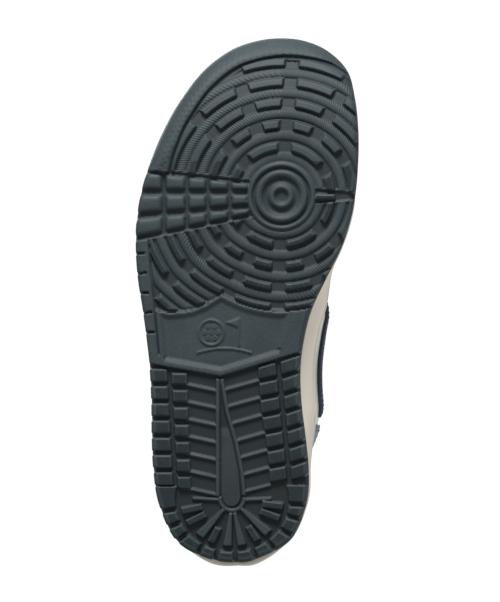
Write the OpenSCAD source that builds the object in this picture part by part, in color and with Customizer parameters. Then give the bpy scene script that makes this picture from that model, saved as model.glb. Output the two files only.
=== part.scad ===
// Golf shoe for the right foot: a spikeless cupsole under a low leather upper.
// X points to the outer side of the foot, Y to the toe, Z up. The tread rests on z = 0.

/* [Shoe] */
// overall length of the sole
shoe_length = 265; // [240:1:300]
// overall width of the sole at the ball
shoe_width = 111.5; // [100:0.5:125]
// height of the sidewall above the ground at the ball
sidewall_fore = 24; // [20:0.5:30]
// extra sidewall height at the heel
heel_rise = 5; // [0:0.5:10]

/* [Outsole] */
// thickness of the rubber under the tread
plate = 2.4; // [1.5:0.1:4]
// thickness of the rubber wall round the toe
bumper = 2.2; // [1.5:0.1:4]
// depth of the tread
lug_depth = 2.8; // [1.5:0.1:4]
// where the toe starts to curve up, measured from the middle of the shoe
spring_start = 70; // [50:1:90]
// radius of the curve under the toe
spring_radius = 130; // [100:1:250]
// distance between two rings of lugs
ring_pitch = 10.8; // [8:0.1:14]
// distance between two rows of heel blocks
heel_pitch = 8.7; // [6:0.1:12]

/* [Upper] */
// wall thickness of the cupsole
cup_wall = 4; // [3:0.1:6]
// how far the instep side of the cupsole leans out over the tread
arch_flare = 6.5; // [0:0.1:10]
// how far the instep side of the upper bulges past the cupsole
arch_bulge = 9; // [0:0.5:14]
// thickness of a layer of leather
leather = 1.2; // [0.8:0.1:2]
// number of eyelet pairs; the lace is threaded through the six nearest the toe
eyelet_pairs = 6; // [6:1:7]
// diameter of an eyelet
eyelet_d = 4.4; // [3:0.1:6]

/* [Hidden] */
// scale of the stations across and along the shoe
kx = shoe_width / 111.5;
ky = shoe_length / 265;
// clearance between neighbouring layers
gap = 0.3;
// how far the upper reaches down inside the cupsole
tuck = 8;
// middle of the forefoot rings and of the heel fan
pivot = [-17.5 * kx, 52.4 * ky];
heel_hub = [7.5 * kx, -99 * ky];
// points round a ring of the sole
sole_n = 80;
// stations where the throat starts, where the tongue folds and where the eyestays end
throat_s = 0.15;
hinge_s = 0.268;
eyestay_end = 0.284;
// inner and outer face of an overlay, measured from the surface of the upper
overlay = [gap, gap + leather];
// larger than any part of the shoe
big = 400;

// the sub-part to draw

// ---------------------------------------------------------------- last and its surface

// Stations round the shoe, from the toe tip along the outer side to the heel and back
// along the instep side: [sole edge x, y, top line x, y, z]. Up to the sixth station the
// top line is the ridge of the toe box, then the throat, then the collar.
outer_rows = [
  [-15, 132.5, -11, 97, 53], [-2.5, 131, -10.5, 95.5, 53.4], [10.5, 126, -9.5, 92, 54.2],
  [23, 116, -8.5, 87, 55.6], [34, 101, -7.5, 80, 58], [42, 86, -6.5, 72, 61],
  [48, 71, -5, 63, 64.5], [52.6, 56, 5.5, 50, 69], [55.2, 41, 11, 36, 74.3],
  [55.7, 26, 15, 21, 80], [54.6, 11, 19, 6, 86], [52.2, -4, 22.5, -8, 90.5],
  [50.2, -19, 27.5, -21, 86], [48.6, -34, 32, -35, 74], [47.8, -51, 34.5, -51, 64.5],
  [47.6, -68, 35, -68, 61.5], [46.8, -84, 34, -86, 64], [44, -101, 30.5, -102, 69],
  [35.5, -119, 22, -116, 76], [19.5, -130.2, 13, -122, 80.5]
];
inner_rows = [
  [5.5, -132.5, 5.5, -123.5, 82], [-6.5, -130.2, -2, -122, 80.5], [-22, -119, -9, -115, 76],
  [-29.8, -101, -13.5, -101, 69], [-31, -85, -15, -86, 64.5], [-29.6, -69, -15, -69, 62],
  [-27.4, -51, -13.5, -51, 65], [-26.8, -34, -12.5, -35, 75], [-28.6, -19, -11.5, -21, 87],
  [-32.5, -4, -9.5, -8, 91], [-39.5, 11, -9.5, 6, 86.5], [-47, 26, -10.5, 21, 80.5],
  [-52, 41, -12, 36, 74.8], [-54.6, 56, -12, 50, 69.5], [-55.6, 71, -5, 63, 64.5],
  [-55.3, 86, -6.5, 72, 61], [-53.5, 101, -7.5, 80, 58], [-49.5, 115, -8.5, 87, 55.6],
  [-39.5, 125.5, -9.5, 92, 54.2], [-27.5, 131, -10.5, 95.5, 53.4]
];
rows = [for (r = concat(outer_rows, inner_rows)) [r[0] * kx, r[1] * ky, r[2] * kx, r[3] * ky, r[4]]];
row_count = len(rows);

function smooth(a, b, x) = let (u = max(0, min(1, (x - a) / (b - a)))) u * u * (3 - 2 * u);

// a curve through four neighbouring stations
function blend4(a, b, c, d, f) =
  b + 0.5 * f * ((c - a) + f * ((2 * a - 5 * b + 4 * c - d) + f * (3 * (b - c) + d - a)));

// the station at a fraction s of the way round the shoe
function station(s) =
  let (u = (s - floor(s)) * row_count, i = floor(u))
  blend4(
    rows[(i + row_count - 1) % row_count], rows[i % row_count],
    rows[(i + 1) % row_count], rows[(i + 2) % row_count], u - i
  );

// the outward direction of the sole edge, in plan
function outward(s) =
  let (d = station(s + 0.004) - station(s - 0.004)) [-d[1], d[0]] / norm([d[0], d[1]]);

function arch(s, y) =
  (s - floor(s) > 0.5) ? smooth(20, -4, y / ky) * smooth(-86, -52, y / ky) : 0;

// the sole edge moved in by inset, with the lean of the arch taken by k
function edge(s, inset, k) =
  let (
    r = station(s), n = outward(s),
    g = k * arch_flare * arch(s, r[1]) - (is_function(inset) ? inset(r[1]) : inset)
  )
  [r[0] + n[0] * g, r[1] + n[1] * g];

// height of the ground side of the sole, which curves up under the toe
function ground(y) =
  y < spring_start ? 0 : spring_radius - sqrt(pow(spring_radius, 2) - pow(y - spring_start, 2));

// height of the top edge of the cupsole
function feather(y) = sidewall_fore + heel_rise * smooth(0, -60, y) + 0.6 * ground(y);

// the outer surface of the upper: t runs from the tucked lower edge (0) to the top line (1)
function upper(s, t) =
  let (
    r = station(s), n = outward(s), b = edge(s, cup_wall + 1, 1), z0 = feather(r[1]) - tuck,
    q = min(s - floor(s), 1 - s + floor(s)), dome = smooth(0.25, 0.12, q),
    a = dome * (1 - pow(cos(90 * t), 0.9)) + (1 - dome) * pow(t, 1.8),
    c = dome * pow(sin(90 * t), 0.85) + (1 - dome) * t,
    g = (1.5 + (arch_bulge - 1.5) * arch(s, r[1] + 3)) * sin(180 * pow(max(0, (t - 0.17) / 0.83), 0.8))
  )
  [b[0] + (r[2] - b[0]) * a + n[0] * g, b[1] + (r[3] - b[1]) * a + n[1] * g, z0 + (r[4] - z0) * c];

// the outward direction of the upper's surface
function normal(s, t) =
  let (
    u = min(t, 0.96), ds = upper(s + 0.004, u) - upper(s - 0.004, u),
    dt = upper(s, min(1, u + 0.02)) - upper(s, max(0, u - 0.02)), n = cross(dt, ds)
  )
  n / norm(n);

// a point at a depth d outside (or, below zero, inside) the upper's surface
function skin(s, t, d) = upper(s, t) + d * normal(s, t);

// a size given as a number or as a function of the place
function value(f, s, t = 0) = is_function(f) ? f(s, t) : f;

// ---------------------------------------------------------------- builders

// A closed solid between an outer and an inner grid of points, ni by nj cells.
// With weld, the last column of the grid folds onto itself along the ridge of the toe box.
module shell(ni, nj, outer, inner, weld = false) {
  m = (ni + 1) * (nj + 1);
  function at(i, j, o) = o * m + ((weld && j == nj) ? min(i, ni - i) : i) * (nj + 1) + j;
  skins = [
    for (i = [0:ni - 1], j = [0:nj - 1])
      each [
        [at(i, j, 0), at(i + 1, j, 0), at(i + 1, j + 1, 0)],
        [at(i, j, 0), at(i + 1, j + 1, 0), at(i, j + 1, 0)],
        [at(i, j, 1), at(i + 1, j + 1, 1), at(i + 1, j, 1)],
        [at(i, j, 1), at(i, j + 1, 1), at(i + 1, j + 1, 1)]
      ]
  ];
  foot = [
    for (i = [0:ni - 1])
      each [[at(i + 1, 0, 0), at(i, 0, 0), at(i, 0, 1)], [at(i + 1, 0, 0), at(i, 0, 1), at(i + 1, 0, 1)]]
  ];
  head = weld ? [] : [
    for (i = [0:ni - 1])
      each [
        [at(i, nj, 0), at(i + 1, nj, 0), at(i + 1, nj, 1)],
        [at(i, nj, 0), at(i + 1, nj, 1), at(i, nj, 1)]
      ]
  ];
  ends = [
    for (j = [0:nj - 1])
      each [
        [at(0, j, 0), at(0, j + 1, 0), at(0, j + 1, 1)],
        [at(0, j, 0), at(0, j + 1, 1), at(0, j, 1)],
        [at(ni, j + 1, 0), at(ni, j, 0), at(ni, j, 1)],
        [at(ni, j + 1, 0), at(ni, j, 1), at(ni, j + 1, 1)]
      ]
  ];
  polyhedron(concat(outer, inner), concat(skins, foot, head, ends));
}

// a panel of the upper, from sa to sb round the shoe, ta to tb up it, and din to dout through it
module panel(sa, sb, ni, ta, tb, nj, din, dout, weld = false) {
  grid = [
    for (i = [0:ni], j = [0:nj])
      let (v = j / nj, a = value(sa, v), b = value(sb, v), s = a + (b - a) * i / ni)
      [s, v, value(ta, s), value(tb, s)]
  ];
  pts = [for (g = grid) [g[0], g[2] + (g[3] - g[2]) * g[1]]];
  shell(
    ni, nj,
    [for (p = pts) skin(p[0], p[1], value(dout, p[0], p[1]))],
    [for (p = pts) skin(p[0], p[1], value(din, p[0], p[1]))],
    weld
  );
}

// A closed solid through rings of points, each ring an inset and a lean of the sole edge
// and a height: [inset, lean, height function of y].
module rings(list, n = sole_n) {
  pts = [
    for (l = list, i = [0:n - 1])
      let (e = edge(i / n, l[0], l[1]), z = l[2]) [e[0], e[1], z(e[1])]
  ];
  last = (len(list) - 1) * n;
  side = [
    for (k = [0:len(list) - 2], i = [0:n - 1])
      let (a = k * n + i, b = k * n + (i + 1) % n)
      each [[a, b, b + n], [a, b + n, a + n]]
  ];
  lids = [
    for (i = [0:n / 2 - 1])
      let (a = i, b = i + 1, c = n - i - 1, d = (n - i) % n)
      each [
        if (b != c) [a, c, b],
        if (a != d) [a, d, c],
        if (b != c) [last + a, last + b, last + c],
        if (a != d) [last + a, last + c, last + d]
      ]
  ];
  polyhedron(pts, concat(side, lids));
}

// ---------------------------------------------------------------- outsole tread, in plan

// the outline of the ground side, drawn in a little at the back of the heel
module sole_plan(inset = 0) {
  n = 2 * sole_n;
  polygon([
    for (i = [0:n - 1])
      let (y = station(i / n)[1], heel = 2.4 * smooth(-112, -128, y / ky)) edge(i / n, inset + heel, 0)
  ]);
}

module half_plane(y, up) {
  translate([-big / 2, up ? y : y - big]) square(big);
}

module ring(r, w) {
  difference() {
    circle(r + w / 2, $fn = 72);
    circle(r - w / 2, $fn = 72);
  }
}

// a straight channel from the pivot outward, a degrees round from the toe direction
module channel(a, w, from) {
  rotate(a) translate([-w / 2, from]) square([w, big]);
}

// the strip that the band of square blocks on the outer side sits in
module band_area() {
  polygon([
    pivot, [-2 * kx, 59.4 * ky], [48.8 * kx, 65.4 * ky], [90 * kx, 70.4 * ky],
    [90 * kx, 27 * ky], [55.8 * kx, 30.8 * ky], [-2 * kx, 42.4 * ky]
  ]);
}

// the wedge between two flat edges on the instep side of the pivot
module medial_wedge_area() {
  polygon([
    [pivot[0], 56 * ky], [-33 * kx, 55.4 * ky], [-60 * kx, 52.4 * ky],
    [-60 * kx, 51.4 * ky], [-34 * kx, 50.2 * ky], [pivot[0], 49 * ky]
  ]);
}

// where the lug rings run: inside the toe border, outside the pivot, and short of the shank
module fore_area() {
  difference() {
    sole_plan(1.2);
    band_area();
    medial_wedge_area();
    translate(pivot) circle(18, $fn = 72);
    difference() {
      translate([-big, pivot[1]]) square(2 * big);
      translate(pivot) circle(70, $fn = 72);
    }
    difference() {
      translate(pivot) polygon([[0, 0], [109, -168], [-big, -200], [-big, -3]]);
      translate(pivot) circle(54, $fn = 72);
    }
    half_plane(-3 * ky, false);
    polygon([[43 * kx, -10], [46 * kx, 10], [48.5 * kx, 30], [80, 30], [80, -10]]);
  }
}

// the lugs: rings round the pivot, cut by channels that run outward from it
module lug_rings() {
  intersection() {
    fore_area();
    translate(pivot) difference() {
      for (k = [0:5]) ring(24.8 + k * ring_pitch, 4.5);
      for (a = [4, 58, -47]) channel(a, 7, 20);
      for (a = [-20.5, 30]) channel(a, 7, 30);
      for (a = [-3, 50, -50]) channel(180 - a, 7, 20);
      for (a = [-26.5, 24]) channel(180 - a, 7, 30);
    }
  }
}

// five columns of three blocks that grow towards the outer side
module band_blocks() {
  intersection() {
    sole_plan(0.4);
    for (col = [0:4], line = [-1:1]) {
      x = 2.4 + col * 10.9;
      y = (50.2 - col * 0.5) * ky + line * (6.6 + col * 1.0);
      h = 5.2 + col * 0.6;
      translate([x * kx, y - h / 2]) square([8.8 + (col == 4 ? 8 : 0), h]);
    }
  }
}

// the raised rings the forefoot turns on
module pivot_rings() {
  translate(pivot) {
    ring(4.8, 2.6);
    ring(11.3, 3.6);
    ring(16, 2.2);
  }
}

// the flat rails beside the shank, the outer one slit five times
module shank_rails() {
  difference() {
    polygon([
      [49.5 * kx, 29 * ky], [80, 29 * ky], [80, -27 * ky], [43.5 * kx, -27 * ky], [46.5 * kx, 2 * ky]
    ]);
    for (k = [0:4]) translate([50.5 - 0.9 * k, (24.5 - 10 * k) * ky]) square([20, 1.2]);
  }
  polygon([[-80, -3 * ky], [-27 * kx, -3 * ky], [-20 * kx, -24 * ky], [-80, -24 * ky]]);
}

// the two thin ribs along the edges of the band
module band_ribs() {
  polygon([[55 * kx, 31.2 * ky], [-5 * kx, 42.6 * ky], [-5 * kx, 41.2 * ky], [55 * kx, 29.6 * ky]]);
  polygon([[49 * kx, 66 * ky], [-5 * kx, 59.8 * ky], [-5 * kx, 61.2 * ky], [49 * kx, 67.4 * ky]]);
}

// the wide V between the shank and the heel
module chevron() {
  intersection() {
    sole_plan(1);
    polygon([
      [42 * kx, -27.5 * ky], [12.8 * kx, -32.4 * ky], [-16 * kx, -24 * ky],
      [-16 * kx, -27.5 * ky], [12.8 * kx, -37 * ky], [42 * kx, -31.5 * ky]
    ]);
  }
}

// four columns of heel blocks with slanting ribs between them, and the two long rails
module heel_blocks() {
  for (k = [0:6]) {
    y = -41 - k * heel_pitch;
    translate([38.8 * kx, y * ky]) square([8 * kx, 6.8]);
    translate([29.2 * kx, y * ky]) square([8.4 * kx, 6.4]);
    translate([(-6.5 - 0.85 * k) * kx, (y + 2) * ky]) square([8 * kx, 6.4]);
    translate([(-27.5 - 0.4 * k) * kx, (y + 4) * ky]) square([9.8 * kx - 0.35 * k, 6.4]);
  }
  for (k = [0:6]) {
    y = -42.5 - k * heel_pitch;
    polygon([[29 * kx, y], [29 * kx, y - 2.4], [15 * kx, y - 4.8], [15 * kx, y - 2.4]]);
    x = (9 - 0.75 * k) * kx;
    x2 = (-6.8 - 0.85 * k) * kx;
    polygon([[x, y - 2.4], [x, y - 4.8], [x2, y + 0.4], [x2, y + 2.8]]);
  }
  polygon([[13 * kx, -38], [15.6 * kx, -38], [15.6 * kx, -98], [12.6 * kx, -98]]);
  polygon([[9.6 * kx, -38], [12 * kx, -38], [4 * kx, -97], [1.4 * kx, -97]]);
}

// the blocks that fan out round the back of the heel
module heel_fan() {
  intersection() {
    sole_plan(0.8);
    half_plane(-101 * ky, false);
    translate(heel_hub) difference() {
      union() {
        ring(6, 3);
        ring(17, 9);
        ring(30, 12);
      }
      for (k = [0:12]) rotate(168 + k * 17) translate([0, -1]) square([60, 2]);
    }
  }
}

module tread_plan() {
  intersection() {
    sole_plan(0.8);
    union() {
      lug_rings();
      band_blocks();
      band_ribs();
      pivot_rings();
      shank_rails();
      chevron();
      heel_blocks();
      heel_fan();
    }
  }
}

// ---------------------------------------------------------------- sole unit

// the ground side of the sole from the side, raised by depth, from heel to toe or back
function ground_line(depth) =
  concat([[-200, depth]], [for (y = [spring_start:8:spring_start + 72]) [y, ground(y) + depth]]);

// a slab across the shoe between two side lines
module across(low, high) {
  translate([-big / 2, 0, 0]) rotate([90, 0, 90]) linear_extrude(big)
    polygon(concat(low, [for (i = [len(high) - 1:-1:0]) high[i]]));
}

// the rubber wall that wraps up round the toe, its top falling away towards the ball
module toe_bumper() {
  intersection() {
    across(
      ground_line(lug_depth + plate / 2),
      [[-200, 4.5], [spring_start - 2, 4.6], [124 * ky, 26], [spring_start + 72, 27]]
    );
    linear_extrude(40) difference() {
      sole_plan();
      sole_plan(bumper);
      half_plane(spring_start, false);
    }
  }
}

module outsole() {
  color([0.2, 0.24, 0.26]) {
    toe_bumper();
    intersection() {
      across(ground_line(lug_depth), ground_line(lug_depth + plate));
      linear_extrude(40) sole_plan();
    }
    intersection() {
      across(ground_line(0), ground_line(lug_depth + plate / 4));
      linear_extrude(40) offset(delta = 0.001) tread_plan();
    }
  }
}

module midsole() {
  base = lug_depth + plate + gap;
  behind = function(y) 0.6 + (bumper + gap - 0.4) * smooth(spring_start - 8, spring_start - 1, y);
  color([0.85, 0.82, 0.78]) rings([
    [function(y) behind(y) + 0.4, 0, function(y) ground(y) + base],
    [behind, 0.1, function(y) ground(y) + base + 2],
    [behind, 0.78, function(y) (feather(y) + ground(y) + base) / 2],
    [behind, 0.95, function(y) feather(y) - 2],
    [2.8, 1, function(y) feather(y)],
    [cup_wall, 1, function(y) feather(y) - 0.5],
    [cup_wall, 1, function(y) feather(y) - tuck - 0.8],
    [cup_wall + 1, 0.2, function(y) ground(y) + base + 3]
  ]);
}

// middle of the air unit under the heel
air_at = [8 * kx, -88 * ky];

// the outline of the air unit, wider by grow, from z up by h
module air_shape(grow, z, h) {
  translate([air_at[0], air_at[1], z]) {
    cylinder(h = h, r = 19 + grow, $fn = 72);
    translate([0, 20, 0]) cylinder(h = h, r = 17 + grow, $fn = 72);
    translate([-17 - grow, 0, 0]) cube([34 + 2 * grow, 20, h]);
  }
}

module midsole_core() {
  base = lug_depth + plate + gap + 3.3;
  color([0.9, 0.9, 0.86]) difference() {
    rings([
      [cup_wall + 1.6, 0.2, function(y) ground(y) + base],
      [cup_wall + 1, 0.75, function(y) feather(y) - tuck - 0.4]
    ]);
    air_shape(0.4, 0, 17.5);
  }
}

module air_unit() {
  color([0.8, 0.85, 0.9]) air_shape(0, lug_depth + plate + 4, 7.8);
}

module strobel_board() {
  color([0.8, 0.78, 0.7]) rings([
    [cup_wall + 5.5, 1, function(y) feather(y) - tuck],
    [cup_wall + 5.5, 1, function(y) feather(y) - tuck + 1.5]
  ]);
}

module sockliner() {
  color([0.25, 0.27, 0.3]) rings([
    [cup_wall + 8, 1, function(y) feather(y) - tuck + 1.8],
    [cup_wall + 7, 1, function(y) feather(y) - tuck + 4 + 2 * smooth(-20, -80, y)],
    [cup_wall + 9, 1, function(y) feather(y) - tuck + 5 + 2 * smooth(-20, -80, y)]
  ]);
}

// ---------------------------------------------------------------- upper

module vamp() {
  color([0.92, 0.92, 0.9])
    panel(-throat_s, throat_s, 28, 0, 1, 9, -leather, 0, true);
}

module toe_overlay() {
  color([0.95, 0.95, 0.93])
    panel(
      -throat_s, throat_s, 28, 0.14,
      function(s, t) 0.44 + 0.16 * smooth(0.05, throat_s, abs(s)), 4, overlay[0], overlay[1]
    );
}

module toe_puff() {
  color([0.75, 0.72, 0.62]) panel(-0.08, 0.08, 14, 0.06, 0.6, 5, -2.6, -1.6);
}

module vamp_lining() {
  color([0.8, 0.8, 0.8]) panel(-throat_s, throat_s, 28, 0.08, 1, 8, -4, -3, true);
}

module quarter(side) {
  color([0.92, 0.92, 0.9]) difference() {
    if (side > 0) {
      panel(throat_s + 0.002, 0.499, 30, 0, 1, 12, -leather, 0);
    } else {
      panel(0.501, 1 - throat_s - 0.002, 30, 0, 1, 12, -leather, 0);
    }
    eyelet_bores(side);
  }
}

module quarter_lining(side) {
  a = throat_s + 0.003;
  b = eyestay_end + 0.003;
  color([0.8, 0.8, 0.8])
    if (side > 0) {
      panel(a, b, 30, 0.1, 0.68, 9, -3.1, -2.1);
    } else {
      panel(1 - b, 1 - a, 30, 0.1, 0.68, 9, -3.1, -2.1);
    }
}

// eyelet centres on the outer side (side > 0) or the instep side, counted from the toe
function eyelet_s(k) = throat_s + 0.02 + k * (hinge_s - 0.012 - throat_s - 0.02) / (eyelet_pairs - 1);
function eyelet(side, k, d) = let (s = eyelet_s(k)) skin(side > 0 ? s : 1 - s, 0.9, d);

// the straight bore of an eyelet through the eyestay and the quarter
module eyelet_bore(side, k) {
  a = eyelet(side, k, -4);
  v = eyelet(side, k, 4) - a;
  translate(a) rotate([0, acos(v[2] / norm(v)), atan2(v[1], v[0])])
    cylinder(h = norm(v), d = eyelet_d, $fn = 24);
}

module eyelet_bores(side) {
  for (k = [0:eyelet_pairs - 1]) eyelet_bore(side, k);
}

module eyestay(side) {
  lo = function(s, t) 0.75 - 0.03 * smooth(0.24, eyestay_end, min(s, 1 - s));
  color([0.95, 0.95, 0.93]) difference() {
    if (side > 0) {
      panel(throat_s + 0.001, eyestay_end, 16, lo, 1, 5, 0.4, 0.4 + leather);
    } else {
      panel(1 - eyestay_end, 1 - throat_s - 0.001, 16, lo, 1, 5, 0.4, 0.4 + leather);
    }
    eyelet_bores(side);
  }
}

// The dark saddle on each side, from above the arch up to the eyestay. On the instep side
// it starts higher, above a strip of the white quarter.
module side_panel(side) {
  front = function(v, t) 0.27 - 0.07 * v;
  back = function(v, t) 0.362 - 0.063 * pow(v, 1.5);
  din = 0.6;
  dout = din + leather;
  color([0.17, 0.19, 0.25])
    if (side > 0) {
      panel(front, back, 14, 0.225, 0.72, 9, din, dout);
    } else {
      panel(function(v, t) 1 - back(v, t), function(v, t) 1 - front(v, t), 14, 0.335, 0.72, 9, din, dout);
    }
}

module heel_overlay() {
  hi = function(s, t) 0.52 + 0.12 * smooth(0.07, 0, abs(s - 0.5));
  color([0.37, 0.4, 0.46]) panel(0.367, 0.633, 26, 0.22, hi, 4, 0.5, 0.5 + leather);
}

module heel_tab() {
  color([0.9, 0.9, 0.88]) panel(0.475, 0.525, 6, 0.68, 0.985, 4, overlay[0], overlay[1]);
}

module heel_counter() {
  color([0.7, 0.66, 0.55]) panel(0.42, 0.58, 16, 0.05, 0.5, 4, -2.7, -1.7);
}

// depth of the padded collar, deepest round the ankle
foam_depth = function(s, t) -3 - 5.5 * smooth(0.56, 0.72, t) * smooth(1.06, 0.92, t);

module collar_foam() {
  d = function(s, t) min(-2.2, foam_depth(s, t) + 1.6);
  color([0.95, 0.85, 0.5]) panel(0.292, 0.708, 28, 0.6, 0.96, 5, d, -1.6);
}

module collar_lining() {
  color([0.85, 0.85, 0.85])
    panel(
      0.292, 0.708, 28, 0.22, 0.98, 9,
      function(s, t) foam_depth(s, t) - 1.5, function(s, t) foam_depth(s, t) - 0.5
    );
}

// ---------------------------------------------------------------- tongue

// thickness of the tongue, and its depth below the edges of the throat
tongue_d = 4;
tongue_gap = 5.2;

// a point across the throat at station s, v from -1 (instep side) to 1 (outer side)
function bridge(s, v) =
  let (
    a = skin(s, 0.66, 0), b = skin(s, 0.97, 0), c = skin(1 - s, 0.97, 0), d = skin(1 - s, 0.66, 0),
    e = 1.5 - 1.5 * v, i = min(2, floor(e)), p = [2 * a - b, a, b, c, d, 2 * d - c]
  )
  blend4(p[i], p[i + 1], p[i + 2], p[i + 3], e - i);

// the upward direction of the surface across the throat
function bridge_normal(s, v) =
  let (n = cross(bridge(s, v + 0.05) - bridge(s, v - 0.05), bridge(s + 0.004, v) - bridge(s - 0.004, v)))
  n[2] < 0 ? -n / norm(n) : n / norm(n);

// the tongue between stations sb and sa, as wide as width at each fraction of its length
module tongue_sheet(sa, sb, ni, nj, width, dout, din) {
  pts = [
    for (i = [0:ni], j = [0:nj])
      let (f = i / ni, w = value(width, f)) [sb + (sa - sb) * f, w * (1 - 2 * j / nj)]
  ];
  shell(
    ni, nj, [for (p = pts) bridge(p[0], p[1]) + dout * bridge_normal(p[0], p[1])],
    [for (p = pts) bridge(p[0], p[1]) + din * bridge_normal(p[0], p[1])]
  );
}

module tongue_base() {
  color([0.93, 0.93, 0.91])
    tongue_sheet(throat_s + 0.012, hinge_s - 0.006, 12, 8, 0.64, -tongue_gap, -tongue_gap - tongue_d);
}

// how far the free end rises above the hinge, and the way it leans
tip_rise = 31;
tip_lean = [0, -0.5, 0.86];

// a point of the free end of the tongue: f from the hinge (0) to the rounded top (1)
function tip_point(f, v, d) =
  let (
    w = (0.27 + 0.19 * smooth(0.45, 0.9, f)) * (1 - 0.12 * pow(f, 4)),
    p = bridge(hinge_s, v * w) + d * bridge_normal(hinge_s, v * w),
    top = bridge(hinge_s, 0)[2] + d,
    rise = 2.2 + (tip_rise - 2.2) * f * (1 - 0.12 * pow(abs(v), 3) * f)
  )
  [p[0], p[1], p[2] + (top - p[2]) * 0.55 * f] + rise * tip_lean + [0, -2.5 * f * f, 0];

// a layer of the free end of the tongue, from f0 to f1 up it and w to each side
module tip_shell(f0, f1, w, dout, din, ni, nj) {
  pts = [for (i = [0:ni], j = [0:nj]) [f1 + (f0 - f1) * i / ni, w * (1 - 2 * j / nj)]];
  shell(ni, nj, [for (p = pts) tip_point(p[0], p[1], dout)], [for (p = pts) tip_point(p[0], p[1], din)]);
}

module tongue_tip() {
  color([0.93, 0.93, 0.91]) tip_shell(0, 1, 1, -tongue_gap + 0.6, -tongue_gap - tongue_d - 0.6, 6, 8);
}

module tongue_label() {
  color([0.17, 0.19, 0.25]) tip_shell(0.45, 0.85, 0.42, -tongue_gap + 1.8, -tongue_gap + 0.8, 3, 4);
}

// ---------------------------------------------------------------- lace

// width and thickness of the flat lace
lace_w = 3;
lace_h = 1.5;

// one bar up over the edge of the throat, across the tongue and down through the paired eyelet
function bar(side, k) =
  let (
    s = eyelet_s(k),
    at = function(face, t, d) skin(face > 0 ? s : 1 - s, t, d),
    lift = [0, 0, 0.3]
  )
  [
    at(side, 0.9, -2.5), at(side, 0.9, 2.7), at(side, 0.955, 3), at(side, 1, 2.8),
    (at(side, 1, 2.8) + at(-side, 1, 2.8)) / 2 + lift,
    at(-side, 1, 2.8), at(-side, 0.955, 3), at(-side, 0.9, 2.7), at(-side, 0.9, -2.5)
  ];

// the run under the eyestay from eyelet k to eyelet m, passing the ones between to one side
function run(side, k, m, shift) =
  let (f = function(u) let (s = eyelet_s(k) + (eyelet_s(m) - eyelet_s(k)) * u)
    skin(side > 0 ? s : 1 - s, 0.9 + shift * sin(180 * u), -3.1))
  [f(0.12), f(0.35), f(0.65), f(0.88)];

// the tucked end, under the eyestay on the way back to the ankle
function lace_end(side, k, shift) =
  let (f = function(u) let (s = eyelet_s(k) + 0.016 * u)
    skin(side > 0 ? s : 1 - s, 0.9 - shift * u, -3.2 - 1.6 * u))
  [f(0.3), f(0.7), f(1)];

function reverse(list) = [for (i = [len(list) - 1:-1:0]) list[i]];

lace_points = concat(
  reverse(lace_end(-1, 4, 0.21)), bar(-1, 4), reverse(run(1, 2, 4, 0.055)), bar(1, 2),
  reverse(run(-1, 0, 2, 0.055)), bar(-1, 0), run(1, 0, 1, -0.03), bar(1, 1),
  run(-1, 1, 3, -0.055), bar(-1, 3), run(1, 3, 5, -0.055), bar(1, 5), lace_end(-1, 5, 0.21)
);

function unit(v) = v / norm(v);

// a flat oval cord swept along its route, with its width kept square to the shoe's surface
module cord(points, w, h, n = 8) {
  m = len(points);
  frames = [
    for (i = [0:m - 1])
      let (
        t = unit(points[min(m - 1, i + 1)] - points[max(0, i - 1)]),
        u0 = [0, 0.45, 0.9], u = unit(u0 - (u0 * t) * t)
      )
      [points[i], cross(t, u), u]
  ];
  pts = [
    for (f = frames, k = [0:n - 1])
      f[0] + f[1] * (w / 2 * cos(360 * k / n)) + f[2] * (h / 2 * sin(360 * k / n))
  ];
  side = [
    for (i = [0:m - 2], k = [0:n - 1])
      let (a = i * n + k, b = i * n + (k + 1) % n) each [[a, a + n, b + n], [a, b + n, b]]
  ];
  lids = [
    for (k = [1:n - 2])
      each [[0, k, k + 1], [(m - 1) * n, (m - 1) * n + k + 1, (m - 1) * n + k]]
  ];
  polyhedron(pts, concat(side, lids));
}

module lace() {
  color([0.96, 0.96, 0.95]) cord(lace_points, lace_w, lace_h);
}

// the stiff tip on the first end of the points
module aglet(points) {
  a = points[0];
  v = unit(points[0] - points[1]);
  color([0.7, 0.7, 0.7]) translate(a + 0.3 * v) rotate([0, acos(v[2]), atan2(v[1], v[0])])
    cylinder(h = 8, d = 2, $fn = 24);
}

// ---------------------------------------------------------------- drawing

outsole();
midsole();
midsole_core();
air_unit();
strobel_board();
sockliner();
vamp();
toe_overlay();
toe_puff();
vamp_lining();
quarter(1);  // quarter_lateral
quarter(-1);  // quarter_medial
quarter_lining(1);  // quarter_lining_lateral
quarter_lining(-1);  // quarter_lining_medial
eyestay(1);  // eyestay_lateral
eyestay(-1);  // eyestay_medial
side_panel(1);  // side_panel_lateral
side_panel(-1);  // side_panel_medial
heel_overlay();
heel_tab();
heel_counter();
collar_foam();
collar_lining();
tongue_base();
tongue_tip();
tongue_label();
lace();
aglet(lace_points);  // aglet_first
aglet(reverse(lace_points));  // aglet_second
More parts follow.
